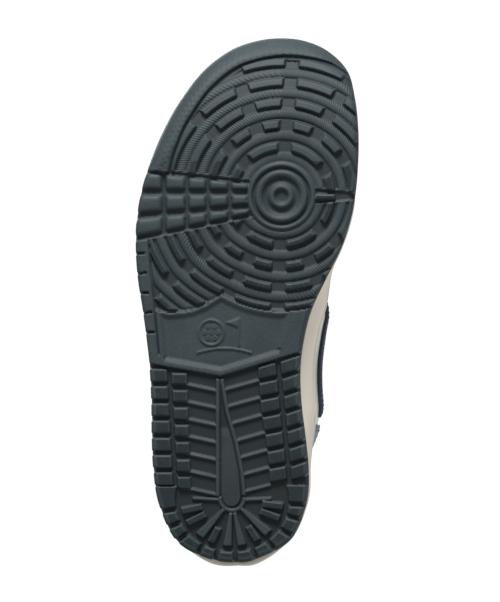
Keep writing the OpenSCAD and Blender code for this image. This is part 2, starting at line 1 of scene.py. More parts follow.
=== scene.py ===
import math
import bmesh
import bpy
import numpy as np
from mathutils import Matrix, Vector


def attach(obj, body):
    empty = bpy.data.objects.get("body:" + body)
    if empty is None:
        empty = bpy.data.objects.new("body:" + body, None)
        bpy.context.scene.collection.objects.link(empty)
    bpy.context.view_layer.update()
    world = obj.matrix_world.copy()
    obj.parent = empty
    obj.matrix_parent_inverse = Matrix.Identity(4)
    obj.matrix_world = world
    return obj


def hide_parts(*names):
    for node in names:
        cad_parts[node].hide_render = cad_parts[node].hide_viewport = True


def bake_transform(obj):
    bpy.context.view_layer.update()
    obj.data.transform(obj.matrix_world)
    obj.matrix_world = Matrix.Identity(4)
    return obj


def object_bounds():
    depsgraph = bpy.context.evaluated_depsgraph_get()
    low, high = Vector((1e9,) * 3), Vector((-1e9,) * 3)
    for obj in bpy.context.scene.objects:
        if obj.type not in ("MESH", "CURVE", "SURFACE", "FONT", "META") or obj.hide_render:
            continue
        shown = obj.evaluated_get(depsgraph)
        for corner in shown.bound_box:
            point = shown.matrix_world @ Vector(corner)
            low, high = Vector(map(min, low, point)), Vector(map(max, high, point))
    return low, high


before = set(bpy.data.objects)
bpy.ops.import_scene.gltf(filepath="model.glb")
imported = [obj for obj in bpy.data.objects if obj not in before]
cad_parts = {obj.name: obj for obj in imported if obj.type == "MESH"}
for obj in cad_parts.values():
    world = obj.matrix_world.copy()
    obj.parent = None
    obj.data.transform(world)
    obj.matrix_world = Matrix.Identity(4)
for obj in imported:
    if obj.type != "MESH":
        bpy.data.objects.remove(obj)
cad_box = [list(c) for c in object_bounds()]
SHOE, TONGUE = "shoe", "tongue_top"
MM = 0.001

# ---------------------------------------------------------------- camera, lights, floor

VIEW_HEIGHT = 0.2985  # how much of the tread the picture takes in from top to bottom
DISTANCE = 1.7
ASIDE = 0.002  # the shoe sits a little to one side of the middle
INSTEP_TURN = math.radians(5)  # the view is straight at the tread, but for a little from the instep side

scene = bpy.context.scene
scene.view_settings.view_transform = "Standard"


def set_camera():
    low, high = (Vector(c) for c in cad_box)
    camera = bpy.data.objects.new("camera", bpy.data.cameras.new("camera"))
    scene.collection.objects.link(camera)
    camera.data.lens = camera.data.sensor_width * DISTANCE / VIEW_HEIGHT
    camera.data.clip_end = 20
    x = (low.x + high.x) / 2 - ASIDE - DISTANCE * math.tan(INSTEP_TURN)
    camera.location = (x, (low.y + high.y) / 2, -DISTANCE)
    camera.rotation_euler = (0, math.pi + INSTEP_TURN, 0)
    scene.camera = camera


def area_light(name, place, aim, size, power):
    light = bpy.data.objects.new(name, bpy.data.lights.new(name, "AREA"))
    light.data.shape = "DISK"
    light.data.size = size
    light.data.energy = power
    light.location = place
    light.rotation_euler = (Vector(aim) - Vector(place)).to_track_quat("-Z", "Y").to_euler()
    scene.collection.objects.link(light)


def world_light():
    """Soft white light all round, and a brighter white behind the shoe."""
    world = bpy.data.worlds.new("studio")
    scene.world = world
    world.use_nodes = True
    nt = world.node_tree
    rays = nt.nodes.new("ShaderNodeLightPath")
    mix = nt.nodes.new("ShaderNodeMix")
    mix.data_type = "FLOAT"
    mix.inputs[2].default_value = 0.5
    mix.inputs[3].default_value = 1.05
    nt.links.new(rays.outputs["Is Camera Ray"], mix.inputs[0])
    nt.links.new(mix.outputs[0], nt.nodes["Background"].inputs["Strength"])
    nt.nodes["Background"].inputs["Color"].default_value = (1, 1, 1, 1)


def floor():
    """A pale floor that the camera sees only from above, so that the tread shows and is lit from below."""
    data = bpy.data.meshes.new("floor")
    data.from_pydata([(-6, -6, 0), (6, -6, 0), (6, 6, 0), (-6, 6, 0)], [], [(0, 1, 2, 3)])
    plane = bpy.data.objects.new("floor", data)
    scene.collection.objects.link(plane)
    mat = bpy.data.materials.new("floor")
    mat.use_nodes = True
    nt = mat.node_tree
    paint = nt.nodes["Principled BSDF"]
    paint.inputs["Base Color"].default_value = (0.8, 0.8, 0.79, 1)
    paint.inputs["Roughness"].default_value = 0.7
    clear = nt.nodes.new("ShaderNodeBsdfTransparent")
    side = nt.nodes.new("ShaderNodeNewGeometry")
    rays = nt.nodes.new("ShaderNodeLightPath")
    seen = nt.nodes.new("ShaderNodeMath")
    seen.operation = "SUBTRACT"
    seen.use_clamp = True
    mix = nt.nodes.new("ShaderNodeMixShader")
    nt.links.new(rays.outputs["Is Camera Ray"], seen.inputs[0])
    nt.links.new(side.outputs["Backfacing"], seen.inputs[1])
    nt.links.new(seen.outputs[0], mix.inputs[0])
    nt.links.new(clear.outputs[0], mix.inputs[1])
    nt.links.new(paint.outputs[0], mix.inputs[2])
    nt.links.new(mix.outputs[0], nt.nodes["Material Output"].inputs["Surface"])
    data.materials.append(mat)


set_camera()
area_light("key_under_toe", (0.1, 1.2, -0.7), (0, 0, 0), 0.6, 36)
area_light("soft_top", (0.5, 0.35, 1.5), (0, 0, 0.05), 1.1, 18)
area_light("soft_side", (-1.1, -0.9, 0.8), (0, 0, 0.05), 1.2, 10)
world_light()
floor()

# ---------------------------------------------------------------- the surfaces of the shoe, as in the CAD

# Stations round the shoe, from the toe tip along the outer side to the heel and back along the instep
# side: sole edge x, y, then top line x, y, z.
OUTER = [
    (-15, 132.5, -11, 97, 53), (-2.5, 131, -10.5, 95.5, 53.4), (10.5, 126, -9.5, 92, 54.2),
    (23, 116, -8.5, 87, 55.6), (34, 101, -7.5, 80, 58), (42, 86, -6.5, 72, 61),
    (48, 71, -5, 63, 64.5), (52.6, 56, 5.5, 50, 69), (55.2, 41, 11, 36, 74.3),
    (55.7, 26, 15, 21, 80), (54.6, 11, 19, 6, 86), (52.2, -4, 22.5, -8, 90.5),
    (50.2, -19, 27.5, -21, 86), (48.6, -34, 32, -35, 74), (47.8, -51, 34.5, -51, 64.5),
    (47.6, -68, 35, -68, 61.5), (46.8, -84, 34, -86, 64), (44, -101, 30.5, -102, 69),
    (35.5, -119, 22, -116, 76), (19.5, -130.2, 13, -122, 80.5),
]
INNER = [
    (5.5, -132.5, 5.5, -123.5, 82), (-6.5, -130.2, -2, -122, 80.5), (-22, -119, -9, -115, 76),
    (-29.8, -101, -13.5, -101, 69), (-31, -85, -15, -86, 64.5), (-29.6, -69, -15, -69, 62),
    (-27.4, -51, -13.5, -51, 65), (-26.8, -34, -12.5, -35, 75), (-28.6, -19, -11.5, -21, 87),
    (-32.5, -4, -9.5, -8, 91), (-39.5, 11, -9.5, 6, 86.5), (-47, 26, -10.5, 21, 80.5),
    (-52, 41, -12, 36, 74.8), (-54.6, 56, -12, 50, 69.5), (-55.6, 71, -5, 63, 64.5),
    (-55.3, 86, -6.5, 72, 61), (-53.5, 101, -7.5, 80, 58), (-49.5, 115, -8.5, 87, 55.6),
    (-39.5, 125.5, -9.5, 92, 54.2), (-27.5, 131, -10.5, 95.5, 53.4),
]
ROWS = np.array(OUTER + INNER, float)
CUP_WALL, TUCK, ARCH_FLARE, ARCH_BULGE, HEEL_RISE = 4.0, 8.0, 6.5, 9.0, 5.0
SPRING_START, SPRING_RADIUS, SIDEWALL = 70.0, 130.0, 24.0
LUG_DEPTH, PLATE, BUMPER, GAP = 2.8, 2.4, 2.2, 0.3
THROAT, STAY_END, HINGE, LEATHER = 0.15, 0.284, 0.268, 1.2


def smooth(a, b, x):
    """0 at a and before, 1 at b and after, with a soft step between."""
    u = np.clip((np.asarray(x, float) - a) / (b - a), 0, 1)
    return u * u * (3 - 2 * u)


def unit(v):
    return v / np.maximum(np.linalg.norm(v, axis=-1, keepdims=True), 1e-9)


def blend4(a, b, c, d, f):
    """A curve through four neighbouring points, at a fraction f of the way from b to c."""
    return b + 0.5 * f * ((c - a) + f * ((2 * a - 5 * b + 4 * c - d) + f * (3 * (b - c) + d - a)))


def station(s):
    """The stations' five numbers at a fraction s of the way round the shoe."""
    u = (np.asarray(s, float) % 1.0) * len(ROWS)
    i = np.floor(u).astype(int)
    return blend4(*(ROWS[(i + k) % len(ROWS)] for k in (-1, 0, 1, 2)), (u - i)[..., None])


def outward(s):
    d = station(np.asarray(s) + 0.004) - station(np.asarray(s) - 0.004)
    return unit(np.stack([-d[..., 1], d[..., 0]], -1))


def arch(s, y):
    return np.where(np.asarray(s) % 1.0 > 0.5, smooth(20, -4, y) * smooth(-86, -52, y), 0)


def edge(s, inset, lean):
    """The edge of the sole moved in by inset, with a share of the arch's lean over the tread."""
    r = station(s)
    out = lean * ARCH_FLARE * arch(s, r[..., 1]) - inset
    return r[..., :2] + outward(s) * np.asarray(out)[..., None]


def ground(y):
    """Height of the ground side of the sole, which curves up under the toe."""
    over = np.clip(np.asarray(y, float) - SPRING_START, 0, None)
    return SPRING_RADIUS - np.sqrt(SPRING_RADIUS**2 - over**2)


def feather(y):
    """Height of the top edge of the cupsole."""
    return SIDEWALL + HEEL_RISE * smooth(0, -60, y) + 0.6 * ground(y)


def upper(s, t):
    """The outer surface of the upper, from the tucked lower edge (t 0) to the top line (t 1)."""
    s, t = np.broadcast_arrays(np.asarray(s, float), np.asarray(t, float))
    t = np.clip(t, 0, 1)
    r, n, b = station(s), outward(s), edge(s, CUP_WALL + 1, 1)
    z0 = feather(r[..., 1]) - TUCK
    dome = smooth(0.25, 0.12, np.minimum(s % 1.0, 1 - s % 1.0))
    co, si = np.clip(np.cos(np.radians(90 * t)), 0, 1), np.sin(np.radians(90 * t))
    inward = dome * (1 - co**0.9) + (1 - dome) * t**1.8
    rise = dome * si**0.85 + (1 - dome) * t
    swell = np.sin(np.pi * np.clip((t - 0.17) / 0.83, 0, 1) ** 0.8)
    bulge = (1.5 + (ARCH_BULGE - 1.5) * arch(s, r[..., 1] + 3)) * swell
    xy = b + (r[..., 2:4] - b) * inward[..., None] + n * bulge[..., None]
    return np.concatenate([xy, (z0 + (r[..., 4] - z0) * rise)[..., None]], -1)


def normal(s, t):
    s, t = np.broadcast_arrays(np.asarray(s, float), np.asarray(t, float))
    u = np.minimum(t, 0.96)
    ds = upper(s + 0.004, u) - upper(s - 0.004, u)
    dt = upper(s, np.minimum(1, u + 0.02)) - upper(s, np.maximum(0, u - 0.02))
    return unit(np.cross(dt, ds))


def skin(s, t, d):
    """A point at a depth d outside the surface of the upper, or inside it where d is below 0."""
    return upper(s, t) + np.asarray(d, float)[..., None] * normal(s, t)


# ---------------------------------------------------------------- mesh helpers


def mesh(name, points, faces, mat, uv=None):
    """A mesh object from points in millimetres. uv holds one pair for each point."""
    data = bpy.data.meshes.new(name)
    data.from_pydata((np.asarray(points, float).reshape(-1, 3) * MM).tolist(), [], faces)
    data.validate()
    data.polygons.foreach_set("use_smooth", [True] * len(data.polygons))
    if uv is not None:
        layer = data.uv_layers.new(name="UVMap")
        loops = np.zeros(len(data.loops), np.int32)
        data.loops.foreach_get("vertex_index", loops)
        layer.data.foreach_set("uv", np.asarray(uv, np.float32).reshape(-1, 2)[loops].ravel())
    data.update()
    obj = bpy.data.objects.new(name, data)
    scene.collection.objects.link(obj)
    data.materials.append(mat)
    return obj


def grid_faces(ni, nj, start=0, wrap_i=False, wrap_j=False, flip=False):
    """Quads over a grid of ni by nj points, numbered row by row from start."""
    faces = []
    for i in range(ni if wrap_i else ni - 1):
        a, b = start + i * nj, start + ((i + 1) % ni) * nj
        for j in range(nj if wrap_j else nj - 1):
            k = (j + 1) % nj
            f = (a + j, b + j, b + k, a + k)
            faces.append(f[::-1] if flip else f)
    return faces


def lid(ring, flip):
    """Faces straight across a closed ring of point numbers that starts at one end."""
    n, faces = len(ring), []
    for i in range(n // 2):
        face = list(dict.fromkeys([ring[i], ring[i + 1], ring[n - i - 1], ring[(n - i) % n]]))
        if len(face) > 2:
            faces.append(tuple(face[::-1] if flip else face))
    return faces


def run_length(line):
    """Length along a line of points up to each of them."""
    return np.concatenate([[0], np.cumsum(np.linalg.norm(np.diff(line, axis=0), axis=1))])


def weld(obj, distance):
    """Joins points that meet within a distance, in metres."""
    bm = bmesh.new()
    bm.from_mesh(obj.data)
    bmesh.ops.remove_doubles(bm, verts=bm.verts, dist=distance)
    bm.to_mesh(obj.data)
    bm.free()
    obj.data.polygons.foreach_set("use_smooth", [True] * len(obj.data.polygons))


def settle(obj, body=SHOE, nodes=()):
    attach(obj, body)
    if nodes:
        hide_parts(*nodes)
    return obj


# ---------------------------------------------------------------- materials


class Shader:
    """A short way to write a procedural material."""

    def __init__(self, name, rough, **fixed):
        self.mat = bpy.data.materials.new(name)
        self.mat.use_nodes = True
        self.nt = self.mat.node_tree
        self.bsdf = self.nt.nodes["Principled BSDF"]
        self.bsdf.inputs["Roughness"].default_value = rough
        for key, v in fixed.items():
            self.bsdf.inputs[key.replace("_", " ")].default_value = v
        self.coord = self.nt.nodes.new("ShaderNodeTexCoord")
        self.normal = None

    def node(self, kind, **inputs):
        """A node with its inputs linked or set, named as they are or i0, i1 by their place."""
        n = self.nt.nodes.new(kind)
        for key, v in inputs.items():
            sock = n.inputs[int(key[1:])] if key[0] == "i" and key[1:].isdigit() else n.inputs[key]
            if hasattr(v, "is_output"):
                self.nt.links.new(v, sock)
            else:
                sock.default_value = v
        return n

    def place(self, kind="Object", scale=(1, 1, 1), turn=0):
        m = self.node("ShaderNodeMapping", Vector=self.coord.outputs[kind])
        m.inputs["Scale"].default_value = scale
        m.inputs["Rotation"].default_value = (0, 0, turn)
        return m.outputs[0]

    def axes(self, vector):
        return self.node("ShaderNodeSeparateXYZ", Vector=vector).outputs

    def attribute(self, name):
        n = self.node("ShaderNodeAttribute")
        n.attribute_name = name
        return n.outputs["Fac"]

    def math(self, op, a, b=0.0):
        n = self.node("ShaderNodeMath", i0=a, i1=b)
        n.operation = op
        return n.outputs[0]

    def noise(self, size, detail=3.0, rough=0.55, scale=(1, 1, 1)):
        """Noise with features about size metres across."""
        place = self.place("Object", scale)
        n = self.node("ShaderNodeTexNoise", Vector=place, Scale=1 / size, Detail=detail, Roughness=rough)
        return n.outputs["Fac"]

    def cells(self, size, feature="F1"):
        """Distance from the middles of cells about size metres across."""
        n = self.node("ShaderNodeTexVoronoi", Vector=self.place(), Scale=1 / size)
        n.feature = feature
        return n.outputs["Distance"]

    def ramp(self, fac, *stops):
        """Colours, or greys given as one number, by the value of fac."""
        n = self.node("ShaderNodeValToRGB", Fac=fac)
        el = n.color_ramp.elements
        while len(el) < len(stops):
            el.new(0.5)
        for e, (at, c) in zip(el, stops):
            e.position = at
            e.color = (c, c, c, 1) if isinstance(c, (int, float)) else (*c, 1)
        return n.outputs["Color"]

    def tint(self, base, colour, fac, *stops):
        """The base with a colour laid over it, as strongly as the stops say for the value of fac."""
        n = self.nt.nodes.new("ShaderNodeMix")
        n.data_type = "RGBA"
        self.nt.links.new(self.ramp(fac, *stops), n.inputs[0])
        self.nt.links.new(base, n.inputs[6])
        n.inputs[7].default_value = (*colour, 1)
        return n.outputs[2]

    def bump(self, height, distance, strength=1.0):
        n = self.node("ShaderNodeBump", Height=height, Distance=distance, Strength=strength)
        if self.normal is not None:
            self.nt.links.new(self.normal, n.inputs["Normal"])
        self.normal = n.outputs["Normal"]

    def done(self, colour, rough=None):
        self.nt.links.new(colour, self.bsdf.inputs["Base Color"])
        if rough is not None:
            self.nt.links.new(rough, self.bsdf.inputs["Roughness"])
        self.nt.links.new(self.normal, self.bsdf.inputs["Normal"])
        return self.mat


def srgb(r, g, b):
    """A display colour, 0 to 255, as linear light."""
    return tuple((c / 255 / 12.92) if c <= 10 else ((c / 255 + 0.055) / 1.055) ** 2.4 for c in (r, g, b))


def lighter(c, k):
    return tuple(min(1.0, v * k) for v in c)


PIVOT, HUB = (-17.5, 52.4), (7.2, -99.2)  # middles of the forefoot rings and of the heel fan


def rubber_dark():
    m = Shader("outsole_rubber", 0.6, Specular_IOR_Level=0.27)
    base = srgb(39, 49, 53)
    patch, fine, dust = m.noise(0.02, 4), m.noise(0.0012, 4), m.noise(0.006, 5, 0.7)
    col = m.ramp(patch, (0.25, lighter(base, 0.82)), (0.5, base), (0.8, srgb(47, 57, 60)))
    col = m.tint(col, srgb(70, 79, 80), fine, (0.3, 0), (0.75, 0.22))
    col = m.tint(col, srgb(96, 95, 90), dust, (0.6, 0), (0.82, 0.2))
    # painted shade: darker in the channels, by the height that the tread stores on its points, in place of
    # the shade that falls in the grooves between the lugs
    col = m.tint(col, srgb(15, 21, 23), m.attribute("tread"), (0.05, 0.8), (0.6, 0))
    # fine radial hatching on the ribs between the lugs
    axes = m.axes(m.coord.outputs["Object"])
    dx, dy = (m.math("SUBTRACT", axes[k], PIVOT[k] * MM) for k in (0, 1))
    turn = m.math("MULTIPLY", m.math("ARCTAN2", dy, dx), 230.0)
    out = m.math("MULTIPLY", m.math("ADD", m.math("ABSOLUTE", dx), m.math("ABSOLUTE", dy)), 1600.0)
    lines = m.math("SINE", m.math("ADD", turn, out))
    m.bump(m.math("MULTIPLY", lines, m.attribute("hatch")), 0.00014, 0.5)
    m.bump(fine, 0.00012, 0.5)
    m.bump(m.cells(0.0007), 0.00008, 0.35)
    return m.done(col, m.ramp(patch, (0.2, 0.52), (0.8, 0.7)))


def cream_rubber():
    m = Shader("midsole_rubber", 0.6, Specular_IOR_Level=0.3)
    base = srgb(220, 212, 198)
    cloudy, fine, scuff = m.noise(0.02, 4), m.noise(0.0009, 3), m.noise(0.005, 6, 0.7, (1, 1, 3))
    col = m.ramp(cloudy, (0.25, lighter(base, 0.9)), (0.75, base))
    col = m.tint(col, srgb(160, 150, 136), scuff, (0.56, 0), (0.8, 0.45))
    m.bump(fine, 0.0001, 0.45)
    m.bump(m.cells(0.0008), 0.00006, 0.3)
    return m.done(col, m.ramp(cloudy, (0.2, 0.55), (0.8, 0.72)))


def leather(name, colour, grain=0.0011, rough=0.48, soil=0.0):
    m = Shader(name, rough, Specular_IOR_Level=0.45, Coat_Weight=0.06, Coat_Roughness=0.4)
    big, mid, pores = m.noise(0.03, 4), m.noise(0.004, 4), m.cells(grain)
    col = m.ramp(big, (0.25, lighter(colour, 0.93)), (0.75, lighter(colour, 1.04)))
    col = m.tint(col, lighter(colour, 0.72), pores, (0.0, 0.25), (0.28, 0))
    if soil:
        col = m.tint(col, srgb(150, 138, 120), mid, (0.55, 0), (0.8, soil))
    m.bump(pores, 0.00016, 0.45)
    m.bump(m.noise(0.0004, 2), 0.00005, 0.4)
    m.bump(m.cells(0.006, "SMOOTH_F1"), 0.0003, 0.12)
    return m.done(col, m.ramp(mid, (0.3, rough - 0.07), (0.75, rough + 0.1)))


def woven(name, colour, pitch, rough=0.85, sheen=0.35, second=None, turn=0.0, depth=0.00018):
    """Threads over and under, on the piece's own UV in millimetres. pitch is one thread, in millimetres."""
    m = Shader(name, rough, Specular_IOR_Level=0.25, Sheen_Weight=sheen, Sheen_Roughness=0.5)
    axes = m.axes(m.place("UV", (1 / pitch, 1 / pitch, 1), turn))
    waves = []
    for k in (0, 1):
        shifted = m.math("ADD", axes[k], m.math("FLOOR", axes[1 - k]))
        along = m.math("ABSOLUTE", m.math("SINE", m.math("MULTIPLY", shifted, math.pi / 2)))
        across = m.math("ABSOLUTE", m.math("SINE", m.math("MULTIPLY", axes[1 - k], math.pi)))
        waves.append(m.math("MULTIPLY", along, across))
    weave = m.math("MAXIMUM", *waves)
    col = m.ramp(weave, (0.1, lighter(colour, 0.55)), (0.7, colour))
    if second:
        col = m.tint(col, second, waves[0], (0.35, 0), (0.6, 1))
    col = m.tint(col, lighter(colour, 0.6), m.noise(0.012, 3), (0.3, 0.12), (0.7, 0))
    m.bump(weave, depth, 0.7)
    m.bump(m.noise(0.0003, 2), 0.00005, 0.3)
    return m.done(col)


def plain(name, colour, size=0.002, rough=0.6, depth=0.0001, **fixed):
    """A moulded or foamed surface: fine pits, soft mottling."""
    m = Shader(name, rough, **fixed)
    pits, cloudy = m.cells(size), m.noise(size * 9, 4)
    col = m.ramp(cloudy, (0.25, lighter(colour, 0.84)), (0.75, lighter(colour, 1.05)))
    col = m.tint(col, lighter(colour, 0.7), pits, (0.05, 0.4), (0.4, 0))
    m.bump(pits, depth, 0.6)
    return m.done(col)


DARK_RUBBER = rubber_dark()
WHITE = leather("white_leather", srgb(216, 216, 211), soil=0.1)
WHITE_2 = leather("white_leather_smooth", srgb(222, 222, 218), grain=0.0014, rough=0.42)
NAVY = leather("navy_leather", srgb(38, 47, 66), rough=0.42)
BLUE = leather("blue_leather", srgb(96, 107, 124), rough=0.5)
CREAM = cream_rubber()
LINING = woven("lining_cloth", srgb(196, 199, 200), 0.55)
TONGUE_CLOTH = woven("tongue_cloth", srgb(222, 223, 220), 0.8, depth=0.0003)
SOCK = woven("sockliner_cloth", srgb(58, 64, 74), 0.6, second=srgb(74, 82, 92))
LACE = woven("lace_cloth", srgb(236, 236, 232), 0.75, turn=math.pi / 4, depth=0.00035)
LABEL = woven("label_cloth", srgb(36, 45, 64), 0.35, sheen=0.5, depth=0.0001)
BINDING = woven("binding_tape", srgb(224, 224, 221), 0.5, depth=0.0001)
THREAD_WHITE = woven("thread_white", srgb(240, 240, 236), 0.3, rough=0.6)
THREAD_NAVY = woven("thread_navy", srgb(50, 60, 82), 0.3, rough=0.6)
THREAD_CREAM = woven("thread_cream", srgb(232, 226, 214), 0.4, rough=0.6)
# painted shade: a dark finish for the flat discs that stand in for the shade inside the punched holes and
# eyelets
HOLE_SHADE = plain("painted_hole_shade", srgb(36, 37, 40), 0.0006, 0.9)
GLAZE = {"Coat_Weight": 0.6, "Coat_Roughness": 0.12}
CLEAR = plain("aglet_plastic", srgb(226, 228, 230), 0.003, 0.22, 0.00002, **GLAZE)
HIDDEN = {
    "midsole_core": plain("sole_foam", srgb(232, 229, 218), 0.0016, 0.8, 0.0003),
    "air_unit": plain("air_film", srgb(196, 208, 220), 0.004, 0.15, 0.00003, Transmission_Weight=0.5),
    "strobel_board": plain("board", srgb(206, 196, 172), 0.0012, 0.9, 0.00015),
    "toe_puff": plain("stiffener", srgb(196, 186, 160), 0.001, 0.85, 0.0001),
    "heel_counter": plain("stiffener_heel", srgb(186, 176, 150), 0.001, 0.85, 0.0001),
}
for node_name, finish in HIDDEN.items():
    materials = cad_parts[node_name].data.materials
    materials.clear()
    materials.append(finish)

# ---------------------------------------------------------------- outsole

TREAD, RIB = 2.6, 1.55  # heights of the lugs and of the heel's ribs above the channels
RING_RADII = (24.8, 35.8, 46.8, 57.2, 67.4, 78)
# directions of the channels through the rings, in degrees from the toe to the instep; the first ring
# has fewer
FEW_CHANNELS = (-47, 4, 58, -131, -178, 130)
MANY_CHANNELS = (-47, -20.5, 4, 30, 58, -126.5, -151.5, -178, 156.5, 129)
BAND_COLUMNS = ((-1.4, 7.4), (9.2, 18.5), (20.2, 28.9), (30.7, 40.4), (42.2, 60))
# directions of the heel fan's gaps and spokes, in degrees from the outer side round the back
FAN_GAPS = (9, 23, 36.5, 57, 74, 93.5, 113, 131.5, 150, 165, 177)
LONG_SPOKES, SHORT_SPOKES = (47.5, 84.4, 102.7, 138.7), (12, 27, 63.4, 122.9, 160, 174)
THIN_SPOKES = (-3, 183)


def cut(d, bevel=1.1):
    """1 inside a shape whose signed distance is d, falling to 0 over a bevel round its flat top."""
    return smooth(bevel * 0.36, bevel * -0.64, d)


def raised(h, top, *sides, bevel=1.1):
    """The heights h with a shape as high as top added, inside all of its sides' signed distances."""
    return np.maximum(h, top * cut(np.maximum.reduce(sides), bevel))


def box(x, y, x0, x1, y0, y1):
    return np.maximum(np.maximum(x0 - x, x - x1), np.maximum(y0 - y, y - y1))


def off_rays(r, angle, rays):
    """Distance to the nearest of some rays, at a radius r and an angle round their common start."""
    turns = [np.radians(angle - ray) for ray in rays]
    return np.minimum.reduce([np.where(np.cos(a) > 0, r * np.abs(np.sin(a)), 99) for a in turns])


def outer_rail(y):
    return 46.2 + 0.0925 * y


def inner_rail(y):
    return -21.95 - (6.1 + y) * 0.275


def chevron(x):
    """The front line of the wide V between the shank and the heel."""
    return np.where(x > 12.75, -32.1 + (x - 12.75) * 0.173, -32.1 + (12.75 - x) * 0.304)


def ring_lugs(x, y, r, turn):
    """Rings of lugs with rounded ribs between them, cut by channels from the pivot."""
    ahead = y > PIVOT[1]
    at = (-180, -150, -125, -95, 95, 130, 180)
    squeeze = np.interp(turn, at, (0.965, 0.97, 1.03, 1.04, 1, 0.975, 0.965))
    ring_r = r / np.where(ahead, 1.0, squeeze)
    few, many = off_rays(r, turn, FEW_CHANNELS), off_rays(r, turn, MANY_CHANNELS)
    half = np.where(ahead, 2.2, 1.8)
    h = np.zeros_like(x)
    for k, radius in enumerate(RING_RADII):
        d = np.maximum(np.abs(ring_r - radius) - half, 3.4 - (few if k == 0 else many))
        if k == 4:  # the fifth ring has no lugs at the outer side of the toe
            d = np.where(ahead & (turn < -20), 9, d)
        rib = np.clip(1 - ((ring_r - radius + 5.3) / 2.5) ** 2, 0, 1)
        h = np.maximum.reduce([h, TREAD * cut(d), 1.15 * np.sqrt(rib)])
    return h


def pivot_profile(r):
    at = (0, 2.8, 3.6, 4.7, 5.8, 6.7, 8, 9.2, 10, 11.5, 12.8, 13.5, 14.2, 14.9, 15.8, 16.8, 17.6)
    up = (0.2, 0.3, 1.8, 2.3, 1.8, 0.5, 0.1, 0.6, 1.8, 2.4, 1.9, 0.2, 0.2, 1.7, 2.1, 1.6, 0.2)
    return np.interp(r, at, up)


def emblem(x, y):
    """A golf ball and a flag, in low relief."""
    bx, by = x - 17.5, y + 15.5
    h = cut(np.abs(np.hypot(bx, by) - 6.2) - 0.55, 0.7)
    dimples = [(0, 0)] + [(3.2 * math.cos(a), 3.2 * math.sin(a)) for a in np.radians(range(0, 360, 60))]
    for cx, cy in dimples:
        h = raised(h, 1, np.abs(np.hypot(bx - cx, by - cy) - 0.85) - 0.25, bevel=0.6)
    h = raised(h, 1, box(x, y, 3.2, 4.3, -22.5, -8.2), bevel=0.7)
    h = raised(h, 1, 4.0 - x, x - 10.4, np.abs(y + 10.6) - 2.4 * (10.6 - x) / 6.6, bevel=0.7)
    return raised(h, 1, np.abs(y + 23.4 + 0.012 * (x - 11) ** 2) - 0.5, np.abs(x - 11) - 14, bevel=0.7)


def shank(h, x, y, r):
    """A shallow panel between two rails below the rings, with the emblem on it."""
    at = (12.5, 13.75, 20, 26.25, 32, 38.75, 45.25)
    scallop = np.interp(x, at, (4.3, 3.4, -0.4, -3.1, -4.2, -4.6, -3.6))
    below = np.where(x > 12.55, scallop - y, np.where(y < PIVOT[1], r - 56.4, -9))
    inside = np.maximum.reduce([x - outer_rail(y) + 1.5, inner_rail(y) - x, 1.6 - below])
    flat = 2.3 - 1.25 * smooth(0, -3.2, inside) + 0.75 * emblem(x, y) * smooth(-3, -3.4, inside)
    ridge = 1.9 * cut(np.abs(below - 0.6) - 0.55, 1.7)
    return np.where(below > 1.1, flat, np.maximum(h * smooth(0.1, -0.7, below), ridge))


def slit_rail(h, x, y, e):
    """The flat rail along the outer edge beside the shank, with five slits."""
    beside = np.maximum(outer_rail(y) - x, y - 31.5)
    rail = np.full_like(x, 2.35)
    for k in range(5):
        slit = np.maximum(np.abs(y - 24.4 + 10 * k + 0.12 * (x - 50)) - 0.5, e - 4.8)
        rail = rail * (1 - cut(slit, 0.5))
    return np.where(beside < 0.4, rail * smooth(0.0, -0.6, beside), h)


def band_blocks(x, y, top_line, low_line):
    """Five columns of three cushion-shaped blocks, the last column running off the edge."""
    h = np.full_like(x, 0.1)
    split = 47.3 - 0.085 * x
    for x0, x1 in BAND_COLUMNS:
        u = np.clip(np.abs(2 * x - x0 - x1) / (x1 - x0), 0, 1)
        if x1 == BAND_COLUMNS[-1][1]:
            u = np.where(x > 50, 0, u)
        for y0, y1 in ((55.7, top_line - 1.0), (split + 1.1, 53.3), (low_line + 1.0, split - 1.1)):
            v = np.clip(np.abs(2 * y - y0 - y1) / np.maximum(y1 - y0, 0.5), 0, 1)
            h = np.maximum(h, TREAD * (1 - u**7) ** 0.5 * (1 - v**3.2) ** 0.5)
    return h


def wedges(h, x, y, r):
    """The wide V of blocks from the pivot to the outer edge and the narrow V to the instep edge."""
    top_line, low_line = 59.4 + 0.1165 * (x + 2.75), 42.9 - 0.205 * (x + 2.75)
    narrow = np.maximum(y - 55.4 - 0.095 * (x + 32.75), 49.4 - 0.1 * (x + 33.75) - y)
    v_out = np.where((x > -17) & (r > 17.2), np.maximum(y - top_line, low_line - y), 9)
    v_in = np.where((x < -17) & (r > 17.2), narrow, 9)
    v = np.minimum(v_out, v_in)
    lip = 1.7 * cut(np.abs(v - 1.15) - 0.5, 1.4)
    h = np.maximum(h * smooth(0.2, 1.2, v), np.where(v > 0.2, lip, 0))
    h = np.where(v_out < 0.2, band_blocks(x, y, top_line, low_line), h)
    return np.where(v_in < 0.2, TREAD * cut(box(x, y, -44.3, -34.2, 50.5, 53.5), 0.9), h), v_out


